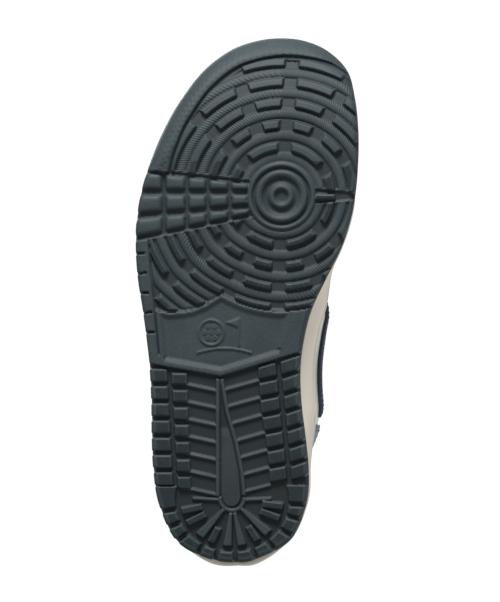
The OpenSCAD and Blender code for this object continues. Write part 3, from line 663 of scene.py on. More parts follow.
def toe_border(h, y, e, r, turn, v_out):
    """The border round the toe: a groove with a thin ridge inside it, and faint dots outside it."""
    at = (-90, -76, -62, -46, -31.6, -18, 0, 20, 27, 90)
    groove = np.interp(turn, at, (57, 57.3, 58.3, 61, 65.4, 69, 70.5, 70.8, 69.4, 70))
    past = np.where((turn > -95) & (y - PIVOT[1] > -8), r - groove, -9)
    thin = 1.5 * cut(np.abs(past + 1.7) - 0.35, 0.7) * smooth(-24, -16, turn)
    h = np.where(v_out > 0.2, np.maximum(h * smooth(-0.3, -1.1, past), thin), h)
    dots, spacing = np.zeros_like(y), 2.6
    for k in range(3):
        along = turn / spacing + 0.5 * (k % 2)
        near = np.hypot((along - np.round(along)) * spacing * 1.25, past - 2.3 - 2.4 * k)
        dots = np.maximum(dots, smooth(1.15, 0.45, near))
    toe = 2.15 + 0.45 * smooth(0.6, 3, past) + 0.14 * dots * smooth(2.2, 4, e)
    return np.where((past > 0.2) & (v_out > 0), toe * smooth(0.1, 0.9, past), h), past


def fore_tread(x, y, e):
    """Heights in front of the chevron, and how far each point lies past the toe's groove."""
    dx, dy = x - PIVOT[0], y - PIVOT[1]
    r, turn = np.hypot(dx, dy), np.degrees(np.arctan2(-dx, dy))
    h = slit_rail(shank(ring_lugs(x, y, r, turn), x, y, r), x, y, e)
    h, v_out = wedges(h, x, y, r)
    h, past = toe_border(h, y, e, r, turn, v_out)
    return np.where(r < 17.4, pivot_profile(r), h), past


def heel_rows(x, y, middle):
    """Two columns of blocks on each side, with slanting ribs between them and the middle."""
    h = np.full_like(x, 0.25)
    back = y + 33.6
    edge_1, edge_2, edge_3 = 39.7 + 0.0545 * back, 37.7 + 0.056 * back, 29.6 + 0.033 * back
    for k in range(7):
        h = raised(h, TREAD, edge_1 - x, np.abs(y + 36.9 + 8.6 * k) - 3.4)
        h = raised(h, TREAD, edge_3 - x, x - edge_2, np.abs(y + 38.6 + 8.64 * k) - 3.1)
        row = y + 41.6 + 8.62 * k + 0.21 * (29.6 - x)
        h = raised(h, RIB, 14 - x, x - 32, np.abs(row) - 1.15, bevel=1.4)
    # the instep side, where every row slopes up outwards
    first = np.interp(y, (-99, -79, -64, -49, -30), (-21.3, -19.8, -18.3, -16.8, -14.9))
    second = np.interp(y, (-89, -69, -54, -34), (-11.75, -9.75, -7.25, -5.75))
    for k in range(7):
        row = y + 33.9 + 8.72 * k - 0.33 * (first - x)
        h = raised(h, TREAD, x - first + 2.0, np.abs(row) - 3.4)
        row = y + 35.4 + 8.56 * k - 0.2 * (second - x)
        h = raised(h, TREAD, x - second, first + 0.2 - x, np.abs(row) - 3.35)
    for k in range(8):
        row = y + 44.3 + 8.45 * (k - 1) - 0.263 * (middle - x)
        h = raised(h, RIB, x - middle, second - 1 - x, np.abs(row) - 1.1, bevel=1.4)
    return h


def heel_tread(x, y):
    """Heights behind the chevron: rows of blocks, a drop-shaped slot in the middle and a fan at the back."""
    middle = np.interp(y, (-97, -93, -84.9, -70.1, -55.6, -37.4), (1.2, 1.4, 2.15, 5.1, 9.45, 12.4))
    h = heel_rows(x, y, middle)
    # the slot, between a straight rail and a slanting one
    drop = np.where(y > -98, np.maximum(middle + 1.7 - x, x - 12.7), np.hypot(x - 7.5, y + 98) - 4.5)
    drop_floor = 1.75 * smooth(-58, -68, y) * smooth(0.5, -0.4, drop) - 0.8
    h = np.where(box(x, y, middle, 14.4, -99.4, 0) < 0, drop_floor, h)
    h = raised(h, RIB * 1.08, box(x, y, 13.1, 15.6, -97.6, -36), bevel=1.3)
    h = raised(h, RIB * 1.08, np.abs(x - middle) - 1.25, -97 - y, bevel=1.3)
    # the fan: an outer row of blocks, spokes of three kinds and the round end of the slot's rail
    dx, dy = x - HUB[0], y - HUB[1]
    rho, beta = np.hypot(dx, dy), np.degrees(np.arctan2(-dy, dx))
    beta = np.where(beta < -90, beta + 360, beta)
    reach = 1 / np.sqrt((np.cos(np.radians(beta)) / 27.2) ** 2 + (np.sin(np.radians(beta)) / 24.2) ** 2)
    short = rho - reach + 1.2
    f = TREAD * cut(np.maximum(reach + 1.2 - rho, 1.0 - off_rays(rho, beta, FAN_GAPS)))
    widening = np.interp(rho, (7, 22), (1.1, 2.4))
    f = raised(f, 2.3, off_rays(rho, beta, LONG_SPOKES) - widening, 6 - rho, short, bevel=1.0)
    f = raised(f, TREAD, off_rays(rho, beta, SHORT_SPOKES) - 1.9, 15 - rho, short, bevel=1.0)
    f = raised(f, RIB, off_rays(rho, beta, THIN_SPOKES) - 1.0, 6 - rho, rho - 20, bevel=0.8)
    from_drop = np.hypot(dx, dy - 1)
    f = np.where((from_drop < 5.2) & (y < -97), drop_floor, f)
    f = raised(f, RIB, np.abs(from_drop - 6) - 1.1, y + 97, bevel=0.8)
    f = np.where(from_drop < 5.2, f, np.maximum(f, 0.25))
    fan = (y < np.where(x > 8, -92.4, -91.5)) & (beta > -16) & (beta < 196)
    return np.where(fan & ((y < -98.2) | (rho > reach + 0.4)), f, np.maximum(h, np.where(fan, f, 0)))


def tread(x, y, e):
    """Heights of the tread at points e inside the edge, and how far they lie past the toe's groove."""
    fore, past = fore_tread(x, y, e)
    behind_line = chevron(x) - y
    bar = np.interp(behind_line, (0, 2.8, 3.3, 5.0, 5.5, 6.6), (1.05, 2.3, 2.35, 2.35, 0.1, 0.1))
    ends = np.interp(behind_line, (0, 4.9, 5.4), (2.3, 2.3, 0.1))
    bar = np.where((x > 41) | (x < inner_rail(y)), ends, bar)
    line = chevron(x) - 5.4
    heel = heel_tread(x, y) * smooth(line - 0.9, line - 1.5, y)
    return np.where(y > chevron(x), fore, np.where(y > line - 1.0, bar, heel)), past


def wall_top(y):
    """Top of the rubber at the edge of the sole."""
    wrapped = np.interp(y, (-200, 66, 96, 124, 142), (5.2, 5.2, 15.5, 25.4, 27))
    return np.maximum(LUG_DEPTH + PLATE + ground(y), wrapped)


def rubber_edge(s):
    """The edge of the rubber, which stops short of the sole's edge at the back."""
    return edge(s, 2.4 * smooth(0.052, 0.02, np.abs(np.asarray(s) % 1.0 - 0.503)), 0)


MIDLINE_TOE, MIDLINE_HEEL = (-9.0, 84.0), (7.8, -86.0)
ROW_STEP, HEEL_ROWS, TOE_ROWS = 0.56, 270, 330


def sole_stations():
    """Stations round the sole: level rows on both sides, and even steps round the heel and the toe."""

    def at_height(ys, first, last):
        part = np.linspace(first, last, 3000)
        height = rubber_edge(part)[:, 1]
        order = np.argsort(height)
        return np.interp(ys, height[order], part[order])

    def spaced(first, last, n):
        part = np.linspace(first, last, 2000)
        run = run_length(rubber_edge(part))
        return np.interp(np.linspace(0, run[-1], n + 2)[1:-1], run, part)

    side_rows = int((MIDLINE_TOE[1] - MIDLINE_HEEL[1]) / ROW_STEP)
    ys = np.linspace(MIDLINE_TOE[1], MIDLINE_HEEL[1], side_rows)
    out_s, in_s = at_height(ys, 0.05, 0.45), at_height(ys[::-1], 0.55, 0.95)
    heel_s, toe_s = spaced(out_s[-1], in_s[0], HEEL_ROWS), spaced(in_s[-1], out_s[0] + 1, TOE_ROWS)
    return np.concatenate([out_s, heel_s, in_s, toe_s]), side_rows


def tread_points(s, rim, axis):
    """A grid of points from the rim in to the midline: x, y and z, the tread's height that sets the painted
    shade in the channels, and the hatching.
    """
    steps = np.cumsum(np.concatenate([[0, 0.06, 0.14, 0.24, 0.36, 0.46, 0.5], np.full(96, 0.55)]))
    w = steps / steps[-1]
    along = unit(axis - rim)
    facing = np.abs(np.sum(along * outward(s), axis=1))
    e = np.linalg.norm(axis - rim, axis=1)[:, None] * w[None] * facing[:, None]
    xy = rim[:, None] + (axis - rim)[:, None] * w[None, :, None]
    x, y = xy[..., 0], xy[..., 1]
    h, past = tread(x, y, e)
    instep = s % 1.0 > 0.5
    toe_in = np.where(instep, smooth(100, 122, rim[:, 1]), smooth(56, 84, rim[:, 1]))
    roll = 2.4 + 7.0 * toe_in
    over = np.clip(1 - e / roll[:, None], 0, 1)
    lift = roll[:, None] * (1 - np.sqrt(1 - over**2 * 0.985))
    z = ground(y) + (LUG_DEPTH - h) + lift - (LUG_DEPTH - TREAD)
    # grooves that reach the edge notch it
    notched = ((y < -30) | ~instep[:, None] & (y < 66)) & (past < 0)
    bite = 0.9 * (1 - np.clip(h / TREAD, 0, 1)) * np.exp(-e / 1.3) * notched
    push = along[:, None] * bite[..., None]
    x, y = x + push[..., 0], y + push[..., 1]
    r = np.hypot(x - PIVOT[0], y - PIVOT[1])
    ribs = smooth(0.25, 0.6, h) * smooth(1.6, 1.25, h)
    among_rings = smooth(18, 20, r) * smooth(58, 56, r * (y < PIVOT[1])) * (past < -1)
    hatch = ribs * among_rings * (np.abs(y - 51 - 0.05 * x) > 8)
    # painted shade in the channels: level falls with the tread's height, and stays at 0.28 or more ahead of y
    # -28, so the channels there are painted less dark than at the heel
    fore = smooth(-32, -28, y) * 0.28
    level = np.clip(fore + (1 - fore) * h / TREAD, 0, 1)
    return np.stack([x, y, z], -1), level, hatch, toe_in


def side_rings(s, rim, along, first, toe_in):
    """Rings of points up the outside of the rubber, over its rim and down its hidden inner side."""
    top = wall_top(rim[:, 1])
    base = LUG_DEPTH + PLATE + ground(rim[:, 1])
    rings = [
        np.concatenate([rim + along * BUMPER, base[:, None] - 0.02], 1),
        np.concatenate([rim + along * (BUMPER - 0.2), (top - 0.2)[:, None]], 1),
        np.concatenate([rim + along * 0.5, (top + 0.25)[:, None]], 1),
    ]
    for f in (1.0, 0.85, 0.7, 0.55, 0.4, 0.28, 0.16, 0.08, 0.02):
        ring = first.copy()
        ring[:, :2] = rim + (first[:, :2] - rim) * (1 - f)
        ring[:, :2] += outward(s) * (0.4 * math.sin(math.pi * f) * toe_in)[:, None]
        ring[:, 2] += (top - first[:, 2]) * f
        rings.append(ring)
    return np.stack(rings, 1)


def outsole():
    s, side_rows = sole_stations()
    n = len(s)
    rim = rubber_edge(s)
    axis_y = np.clip(rim[:, 1], MIDLINE_HEEL[1], MIDLINE_TOE[1])
    axis_x = np.interp(axis_y, (MIDLINE_HEEL[1], MIDLINE_TOE[1]), (MIDLINE_HEEL[0], MIDLINE_TOE[0]))
    axis = np.stack([axis_x, axis_y], 1)
    grid, level, hatch, toe_in = tread_points(s, rim, axis)
    rings = side_rings(s, rim, unit(axis - rim), grid[:, 0], toe_in)
    rows = np.concatenate([rings, grid], 1)
    total = rows.shape[1]
    tops = np.concatenate([axis, (LUG_DEPTH + PLATE + ground(axis_y))[:, None] - 0.02], 1)
    pts = np.concatenate([rows.reshape(-1, 3), tops])
    # rows that face each other share their far ends on the midline, and so do all round the heel and the toe
    partner = np.arange(n)
    back = side_rows + HEEL_ROWS
    partner[side_rows:back] = side_rows - 1
    partner[back:back + side_rows] = np.arange(side_rows)[::-1]
    partner[back + side_rows:] = 0
    index = np.arange(n * total).reshape(n, total)
    index[:, -1] = index[partner, -1]
    top_index = n * total + partner
    faces = []
    for i in range(n):
        k = (i + 1) % n
        p, q = index[i], index[k]
        strip = np.stack([p[:-1], p[1:], q[1:], q[:-1]], 1).tolist()
        strip.append([int(p[0]), int(q[0]), int(top_index[k]), int(top_index[i])])
        faces += [list(dict.fromkeys(f)) for f in strip]
    used = np.unique(np.concatenate(faces))
    new_number = np.full(len(pts), -1)
    new_number[used] = np.arange(len(used))
    obj = mesh("outsole_tread", pts[used], [new_number[f].tolist() for f in faces], DARK_RUBBER)
    # the tread attribute carries the painted shade of the channels; the wall rings and the midline points get
    # none
    for name, values, elsewhere in (("tread", level, 1.0), ("hatch", hatch, 0.0)):
        on_rings = np.full(rings.shape[:2], elsewhere)
        values = np.concatenate([np.concatenate([on_rings, values], 1).ravel(), np.ones(n)])[used]
        attribute = obj.data.attributes.new(name, "FLOAT", "POINT")
        attribute.data.foreach_set("value", values.astype(np.float32))
    return settle(obj, nodes=("outsole",))


outsole()

# ---------------------------------------------------------------- builders for the upper


def value(f, *args):
    """A size given as a number or as a function of the place."""
    return f(*args) if callable(f) else f


def spread(n, length, radius=0.9):
    """Fractions of a length, n even steps with closer ones at both ends for a rolled edge."""
    ends = np.array([0, 0.1, 0.35, 0.7, 1.1]) * min(radius / length, 0.15)
    return np.concatenate([ends[:-1], np.linspace(ends[-1], 1 - ends[-1], n), 1 - ends[:-1][::-1]])


def solid(outer, inner, weld_top=False):
    """Points and faces of a closed solid between two grids. With weld_top, its last column stays open."""
    ni, nj = outer.shape[:2]
    m = ni * nj
    faces = grid_faces(ni, nj, 0, flip=True) + grid_faces(ni, nj, m)
    foot, far_end = [(i, 0) for i in range(ni)], [(ni - 1, j) for j in range(1, nj)]
    if weld_top:
        border = [(0, j) for j in range(nj)][::-1] + foot[1:] + far_end
    else:
        head = [(i, nj - 1) for i in range(ni - 2, -1, -1)]
        border = foot + far_end + head + [(0, j) for j in range(nj - 2, -1, -1)]
    for (i, j), (k, q) in zip(border, border[1:]):
        a, b = i * nj + j, k * nj + q
        faces.append((a, b, b + m, a + m))
    return np.concatenate([outer.reshape(-1, 3), inner.reshape(-1, 3)]), faces


def shell(name, outer, inner, across, up, mat, weld_top=False):
    """A closed piece between two grids of points. Its uv runs across and up, in millimetres."""
    pts, faces = solid(outer, inner, weld_top)
    uv = np.stack([across, up], -1).reshape(-1, 2)
    return mesh(name, pts, faces, mat, np.concatenate([uv, uv]))


def rounding(x):
    """Drop of a rounded edge at x from 0, the rim, to 1, the flat."""
    return 1 - np.sqrt(1 - np.clip(1 - x, 0, 1) ** 2 * 0.98)


def panel(name, mat, slot, nodes, sa, sb, ta, tb, din, dout, weld_top=False, rolled=0.7, fine=1.6, crown=0.0):
    """A panel of the upper with rolled edges, from sa to sb round the shoe and ta to tb up it."""
    s_a, s_b = value(sa, 0.5), value(sb, 0.5)
    s_mid = (s_a + s_b) / 2
    tall_t = np.linspace(value(ta, s_mid), value(tb, s_mid), 40)
    long = run_length(upper(np.linspace(s_a, s_b, 60), 0.4))[-1]
    tall = run_length(upper(s_mid, tall_t))[-1]
    us, vs = spread(max(8, int(long / fine)), long), spread(max(5, int(tall / fine)), tall)
    u, v = np.meshgrid(us, vs, indexing="ij")
    a, b = value(sa, v), value(sb, v)
    s = a + (b - a) * u
    lo, hi = value(ta, s), value(tb, s)
    t = lo + (hi - lo) * v
    e = np.minimum(np.minimum(u, 1 - u) * long, (v if weld_top else np.minimum(v, 1 - v)) * tall)
    depth = value(dout, s, t) - rolled * rounding(e / rolled) + crown * (1 - np.exp(-e / 2.5))
    under = skin(s, t, value(din, s, t) + 0 * s)
    obj = shell(name, skin(s, t, depth), under, u * long, v * tall, mat, weld_top)
    if weld_top:
        weld(obj, 0.00002)
    return settle(obj, nodes=nodes)


def panel_pair(name, mat, slot, node, sa, sb, *sizes, **kw):
    """A panel on the outer side, and its mirror image on the instep side."""
    panel(name + "_outer", mat, slot, (node + "_lateral",), sa, sb, *sizes, **kw)
    mirrored = (lambda v: 1 - value(sb, v)), (lambda v: 1 - value(sa, v))
    panel(name + "_inner", mat, slot, (node + "_medial",), *mirrored, *sizes, **kw)


def capsules(centres, along, up, length, radius, around=6):
    """Points and faces of many small rounded rods, such as stitches."""
    side = np.cross(along, up)
    ang = np.arange(around) * 2 * math.pi / around
    profile = ((-0.46, 0.62), (-0.3, 1.0), (0.3, 1.0), (0.46, 0.62))
    shape = [(x * length, r * radius * math.cos(a), r * radius * math.sin(a))
             for x, r in profile for a in ang]
    shape = np.array(shape + [(-0.5 * length, 0, 0), (0.5 * length, 0, 0)])
    axes = np.stack([along, side, up], 1)
    pts = centres[:, None] + shape @ axes
    m, tube = len(shape), grid_faces(4, around, wrap_j=True)
    first, final = m - 2, m - 1
    tube += [(first, (k + 1) % around, k) for k in range(around)]
    tube += [(final, 3 * around + k, 3 * around + (k + 1) % around) for k in range(around)]
    faces = [tuple(i + m * q for i in f) for q in range(len(centres)) for f in tube]
    return pts.reshape(-1, 3), faces


class Seams:
    """Rows of stitches gathered into one piece."""

    def __init__(self, name, mat, slot, body=SHOE):
        self.name, self.mat, self.slot, self.body = name, mat, slot, body
        self.pts, self.faces, self.count = [], [], 0

    def run(self, line, up, pitch=2.7, length=2.0, radius=0.25):
        """Stitches along a line of points, standing up from the surface along up."""
        at = run_length(line)
        where = np.arange(pitch / 2, at[-1], pitch)

        def pick(values, shift=0.0):
            return np.stack([np.interp(where + shift, at, values[:, k]) for k in range(3)], 1)

        along = unit(pick(line, 0.3) - pick(line, -0.3))
        ups = unit(pick(up))
        ups = unit(ups - along * np.sum(ups * along, -1, keepdims=True))
        pts, faces = capsules(pick(line), along, ups, length, radius)
        self.faces += [tuple(i + self.count for i in f) for f in faces]
        self.pts.append(pts)
        self.count += len(pts)

    def on_skin(self, s, t, d):
        s, t = np.broadcast_arrays(np.asarray(s, float), np.asarray(t, float))
        self.run(skin(s, t, d), normal(s, t))

    def make(self):
        pts = np.concatenate(self.pts)
        uv = np.stack([pts[:, 0] + pts[:, 1], pts[:, 2]], 1)
        return settle(mesh(self.name, pts, self.faces, self.mat, uv), self.body)


# ---------------------------------------------------------------- midsole

BASE = LUG_DEPTH + PLATE + GAP
STITCH_HEIGHT = 0.755  # middle of the channel for the sidewall stitching, as a fraction of the wall


def loft(rings):
    """The cupsole's closed wall, from rings of (inset, lean, height) as functions of s and y."""
    n = 620
    s = np.arange(n) / n
    y = station(s)[:, 1]
    grid = []
    for inset, lean, height in rings:
        xy = edge(s, value(inset, s, y) + 0 * s, lean)
        grid.append(np.concatenate([xy, (value(height, s, xy[:, 1]) + 0 * s)[:, None]], 1))
    grid = np.stack(grid, 1)
    m = len(rings)
    run = run_length(grid[:, 0])
    uv = np.stack(np.broadcast_arrays(run[:, None], np.arange(m)[None] * 2.0), -1)
    faces = grid_faces(n, m, wrap_i=True)
    faces += lid([i * m for i in range(n)], True) + lid([i * m + m - 1 for i in range(n)], False)
    cup = mesh("midsole_cup", grid.reshape(-1, 3), faces, CREAM, uv.reshape(-1, 2))
    settle(cup, nodes=("midsole",))


def behind(y):
    """Inset of the cupsole's wall, which stands behind the rubber wall round the toe."""
    return 0.6 + (BUMPER + GAP - 0.4) * smooth(SPRING_START - 24, SPRING_START - 1, y)


def wall_ring(f, push=0.0):
    """A ring of the outer wall, at a fraction f of its height and pushed out a little."""
    lean = float(np.interp(f, (0, 0.12, 0.5, 0.92, 1), (0, 0.2, 0.78, 0.97, 1)))
    low_part = 1 - smooth(0.1, 0.6, f)

    def inset(s, y):
        lobes = 0.7 * smooth(-118, -130, y) * np.abs(np.sin((s - 0.502) * 60))  # round the heel, low down
        to_lip = (2.2 - behind(y)) * smooth(0.86, 1, f) * 0.4
        return behind(y) - push + to_lip - low_part * lobes

    return inset, lean, lambda s, y: ground(y) + BASE + (feather(y) - ground(y) - BASE) * f


def at_feather(inset, rise):
    return inset, 1, lambda s, y: feather(y) + rise


def midsole():
    rings = [
        (lambda s, y: behind(y) + 1.2, 0, lambda s, y: ground(y) + BASE),
        (lambda s, y: behind(y) + 0.25, 0.02, lambda s, y: ground(y) + BASE + 0.05),
    ]
    rings += [wall_ring(f) for f in (0.03, 0.1, 0.2, 0.32, 0.44, 0.55, 0.64)]
    # a channel for the sidewall stitching, then the top band and its rounded lip
    below = (-0.065, 0), (-0.05, -0.25), (-0.03, -0.8)
    above = (0, -0.9), (0.03, -0.8), (0.05, -0.25), (0.065, 0.05)
    rings += [wall_ring(STITCH_HEIGHT + f, push) for f, push in below + above]
    rings += [wall_ring(0.9, 0.1), wall_ring(0.96), wall_ring(0.985, -0.3)]
    rings += [at_feather(3.0, 0.1), at_feather(3.5, 0.05), at_feather(3.9, -0.4), at_feather(4.0, -2)]
    rings += [at_feather(4.0, -TUCK - 0.8), (5.0, 0.2, lambda s, y: ground(y) + BASE + 3)]
    loft(rings)
    s = np.linspace(0, 1, 1500)
    inset, lean, height = wall_ring(STITCH_HEIGHT, -0.75)
    heights = height(s, edge(s, 0, 1)[:, 1])
    line = np.concatenate([edge(s, inset(s, station(s)[:, 1]), lean), heights[:, None]], 1)
    seam = Seams("sidewall_stitching", THREAD_CREAM, "midsole_rubber")
    seam.run(line, np.concatenate([outward(s), np.zeros((len(s), 1))], 1), pitch=4.6, length=3.7, radius=0.5)
    seam.make()


midsole()

# ---------------------------------------------------------------- leather upper

LAP = 0.0095  # how far the quarters reach over the vamp, as a fraction of the way round the shoe
TOE_END = THROAT - LAP - 0.001
SADDLE_LOW, INSTEP_SADDLE_LOW, SADDLE_TOP = 0.225, 0.335, 0.752
MM_S = 1 / 700.0  # a millimetre along the side, as a fraction of the way round the shoe
ROWS_IN = (2.0, 4.2)  # how far inside an edge its two rows of stitches run
EYELET_T, EYELET_PAIRS = 0.9, 6
EYELET_S = np.linspace(THROAT + 0.02, HINGE - 0.012, EYELET_PAIRS)


def mirror(side, s):
    """A station on the outer side (side > 0), or the same one on the instep side."""
    return s if side > 0 else 1 - s


def saddle_front(v):
    return 0.27 - 0.07 * v


def saddle_back(v):
    return 0.362 - 0.063 * v**1.5


def saddle_low(s):
    """The saddle's lower edge: higher on the instep, where a strip of the quarter shows below it."""
    return np.where(np.asarray(s) < 0.5, SADDLE_LOW, INSTEP_SADDLE_LOW)


def toe_top(s):
    return 0.44 + 0.16 * smooth(0.05, THROAT, np.abs(s))


def heel_top(s):
    return 0.52 + 0.12 * smooth(0.07, 0, np.abs(s - 0.5))


def stay_low(s):
    return 0.75 - 0.03 * smooth(0.24, STAY_END, np.minimum(s, 1 - s))


def stay_out(s, t):
    """The eyestay's outer face, raised where it laps over the saddle and the quarter's edge."""
    q = np.minimum(s, 1 - s)
    over_saddle = smooth(0.198, 0.204, q) * smooth(0.83, 0.775, t)
    return 1.5 + 1.5 * over_saddle + 1.1 * smooth(THROAT + 0.008, THROAT + 0.001, q)


def quarter_out(s, t):
    """The quarter's outer face, raised where it laps over the vamp."""
    return 1.25 * smooth(THROAT + 0.009, THROAT - 0.001, np.minimum(s, 1 - s))


def quarter_in(s, t):
    return -LEATHER + (LEATHER + 0.05) * smooth(THROAT + 0.006, THROAT + 0.001, np.minimum(s, 1 - s))


def panels():
    white, smooth_white = (WHITE, "white_leather"), (WHITE_2, "white_leather")
    lining = (LINING, "lining_cloth")
    quarter, stay = (THROAT - LAP, 0.4995), (THROAT - LAP - 0.002, STAY_END)
    panel("vamp", *white, ("vamp",), -THROAT, THROAT, 0.0, 1.0, -LEATHER, 0.0, weld_top=True)
    panel_pair("quarter", *white, "quarter", *quarter, 0.0, 1.0, quarter_in, quarter_out)
    toe = (-TOE_END, TOE_END, 0.14, toe_top, 0.1, 1.45)
    panel("toe_overlay", *smooth_white, ("toe_overlay",), *toe, crown=0.2)
    saddle = (saddle_front, saddle_back, saddle_low, SADDLE_TOP, 0.1, 1.7)
    panel_pair("saddle", NAVY, "navy_leather", "side_panel", *saddle, crown=0.25)
    heel = (0.367, 0.633, 0.2, heel_top, 0.1, 1.6)
    panel("heel_overlay", BLUE, "blue_leather", ("heel_overlay",), *heel, crown=0.2)
    panel("heel_tab", *smooth_white, ("heel_tab",), 0.475, 0.525, 0.68, 0.985, 0.1, 1.5, crown=0.2)
    panel_pair("eyestay", *smooth_white, "eyestay", *stay, stay_low, 1.0, 0.1, stay_out, crown=0.15)
    panel("vamp_lining", *lining, ("vamp_lining",), -THROAT, THROAT, 0.08, 1.0, -4, -3, weld_top=True, fine=3)
    panel_pair("quarter_lining", *lining, "quarter_lining", 0.153, 0.29, 0.1, 0.7, -2.9, -1.9, fine=3)


def edge_seams():
    """Rows of stitches just inside the edges of the overlays."""
    white = Seams("stitching_white", THREAD_WHITE, "white_leather")
    navy = Seams("stitching_navy", THREAD_NAVY, "navy_leather")
    blue = Seams("stitching_blue", THREAD_NAVY, "blue_leather")
    f = np.linspace(0, 1, 160)
    toe, heel = np.linspace(-TOE_END + 0.003, TOE_END - 0.003, 400), 0.37 + 0.26 * f
    stay = THROAT + 0.004 + (STAY_END - THROAT - 0.008) * f
    for inset in ROWS_IN:
        white.on_skin(toe, toe_top(toe) - inset / 48, 1.62)
        blue.on_skin(heel, heel_top(heel) - inset / 50, 1.75)
        for side in (1, -1):
            low = float(saddle_low(mirror(side, 0.3)))
            v = 0.06 + 0.88 * f
            t = low + (SADDLE_TOP - low) * v
            navy.on_skin(mirror(side, saddle_front(v) + inset * MM_S * 1.25), t, 1.85)
            navy.on_skin(mirror(side, saddle_back(v) - inset * MM_S * 1.25), t, 1.85)
            t = stay_low(stay) + inset / 52
            white.on_skin(mirror(side, stay), t, stay_out(stay, t) + 0.22)
    for side in (1, -1):
        white.on_skin(mirror(side, stay), 0.965 + 0 * f, 1.68)
        white.on_skin(mirror(side, STAY_END - 2 * MM_S + 0 * f), 0.75 + 0.21 * f, 1.68)
        white.on_skin(mirror(side, 0.29 + 0.18 * f), 0.93 + 0 * f, 0.12)
        for inset in ROWS_IN:
            lap = THROAT - LAP + inset * MM_S * 1.3 + 0 * f
            white.on_skin(mirror(side, lap), 0.16 + 0.57 * f, quarter_out(lap, f) + 0.14)
        along = saddle_front(0) + (saddle_back(0) - saddle_front(0)) * (0.04 + 0.92 * f)
        above = SADDLE_LOW + 0.045 if side > 0 else INSTEP_SADDLE_LOW + 0.025
        navy.on_skin(mirror(side, along), above + 0 * f, 1.85)
    for at in (0.37, 0.63):
        blue.on_skin(at + 0 * f, 0.23 + (heel_top(at) - 0.27) * f, 1.72)
    for at in (0.4775, 0.5225):
        white.on_skin(at + 0 * f, 0.69 + 0.285 * f, 1.7)
    for up in (0.705, 0.96):
        white.on_skin(0.4775 + 0.045 * f, up + 0 * f, 1.7)
    for seam in (white, navy, blue):
        seam.make()


def discs(name, mat, spots, profile, closed=False):
    """Small round pieces on the white leather, each turned from a profile of radii and heights."""
    pts, faces, sides = [], [], 14
    ang = np.arange(sides) * 2 * math.pi / sides
    for s, t, d in spots:
        c, n = skin(s, t, d), normal(s, t)
        a = unit(upper(s + 0.002, t) - upper(s - 0.002, t))
        b = np.cross(n, a)
        start = len(pts)
        for r, z in profile:
            pts += [c + a * r * math.cos(q) + b * r * math.sin(q) + n * z for q in ang]
        faces += grid_faces(len(profile), sides, start, wrap_j=True)
        if closed:
            faces.append(tuple(start + (len(profile) - 1) * sides + k for k in range(sides)))
    return settle(mesh(name, pts, faces, mat, np.array(pts)[:, :2]))


def holes():
    """The holes of the vamp and of the eyelets, shown as dark discs of painted shade, and the eyelets'
    pressed-in rims.
    """

    def punched(radius):
        return (radius, 0.06), (radius * 0.92, 0.08), (radius * 0.5, 0.08)

    columns = [sign * s for s in np.arange(0.024, 0.125, 0.0144) for sign in (1, -1)]
    vamp = [(s, t, 0.0) for t in (0.93, 0.84, 0.75, 0.66) for s in columns]
    discs("vamp_perforations", HOLE_SHADE, vamp, punched(0.75), closed=True)
    eyes = [(mirror(side, s), EYELET_T, 1.62) for side in (1, -1) for s in EYELET_S]
    discs("eyelet_holes", HOLE_SHADE, eyes, punched(2.2), closed=True)
    rim = ((3.0, -0.15), (2.82, 0.28), (2.415, 0.34), (2.1, 0.1))
    discs("eyelet_rims", WHITE_2, eyes, rim)


panels()
edge_seams()
holes()

# ---------------------------------------------------------------- collar and insole

COLLAR_START, COLLAR_END = 0.286, 0.714


def foam_depth(t):
    return -3 - 5.5 * smooth(0.56, 0.72, t) * smooth(1.06, 0.92, t)


def grid_normals(g):
    return unit(np.cross(np.gradient(g, axis=1), np.gradient(g, axis=0)))


def collar():
    """The padded collar: cloth rolled over foam from the top edge, then down inside the heel."""
    s = np.linspace(COLLAR_START, COLLAR_END, 230)
    round_rows, inside_rows = 19, 26
    tube = np.concatenate([np.linspace(0, 180, round_rows), np.full(inside_rows, 180.0)])
    down = np.concatenate([np.full(round_rows, 0.945), np.linspace(0.93, 0.05, inside_rows)])
    ss, ph = np.meshgrid(s, np.radians(tube), indexing="ij")
    tt = np.broadcast_to(down, ss.shape)
    full = smooth(COLLAR_START, 0.31, ss) * smooth(COLLAR_END, 0.69, ss)
    thick = 1.2 + 2.8 * full
    up = unit(upper(ss, 0.96) - upper(ss, 0.9))
    rolled = skin(ss, tt, -1.0 - thick * (1 - np.cos(ph))) + up * (thick * 1.05 * np.sin(ph))[..., None]
    inside = skin(ss, tt, np.minimum(foam_depth(tt) - 1.3, -3.0) * full + (-1.0 - 2 * thick) * (1 - full))
    blend = smooth(0.93, 0.84, tt)[..., None]
    surface = rolled * (1 - blend) + inside * blend
    under = surface - grid_normals(surface) * 0.9
    obj = shell("collar_padding", surface, under, ss * 700, ph * 4 + (1 - tt) * 60, LINING)
    settle(obj, nodes=("collar_lining", "collar_foam"))
    seam = Seams("collar_stitching", THREAD_WHITE, "lining_cloth")
    sewn = (slice(4, -4), 22)  # a row just below the roll
    seam.run(surface[sewn], grid_normals(surface)[sewn], pitch=3.0, length=2.2, radius=0.3)
    seam.make()


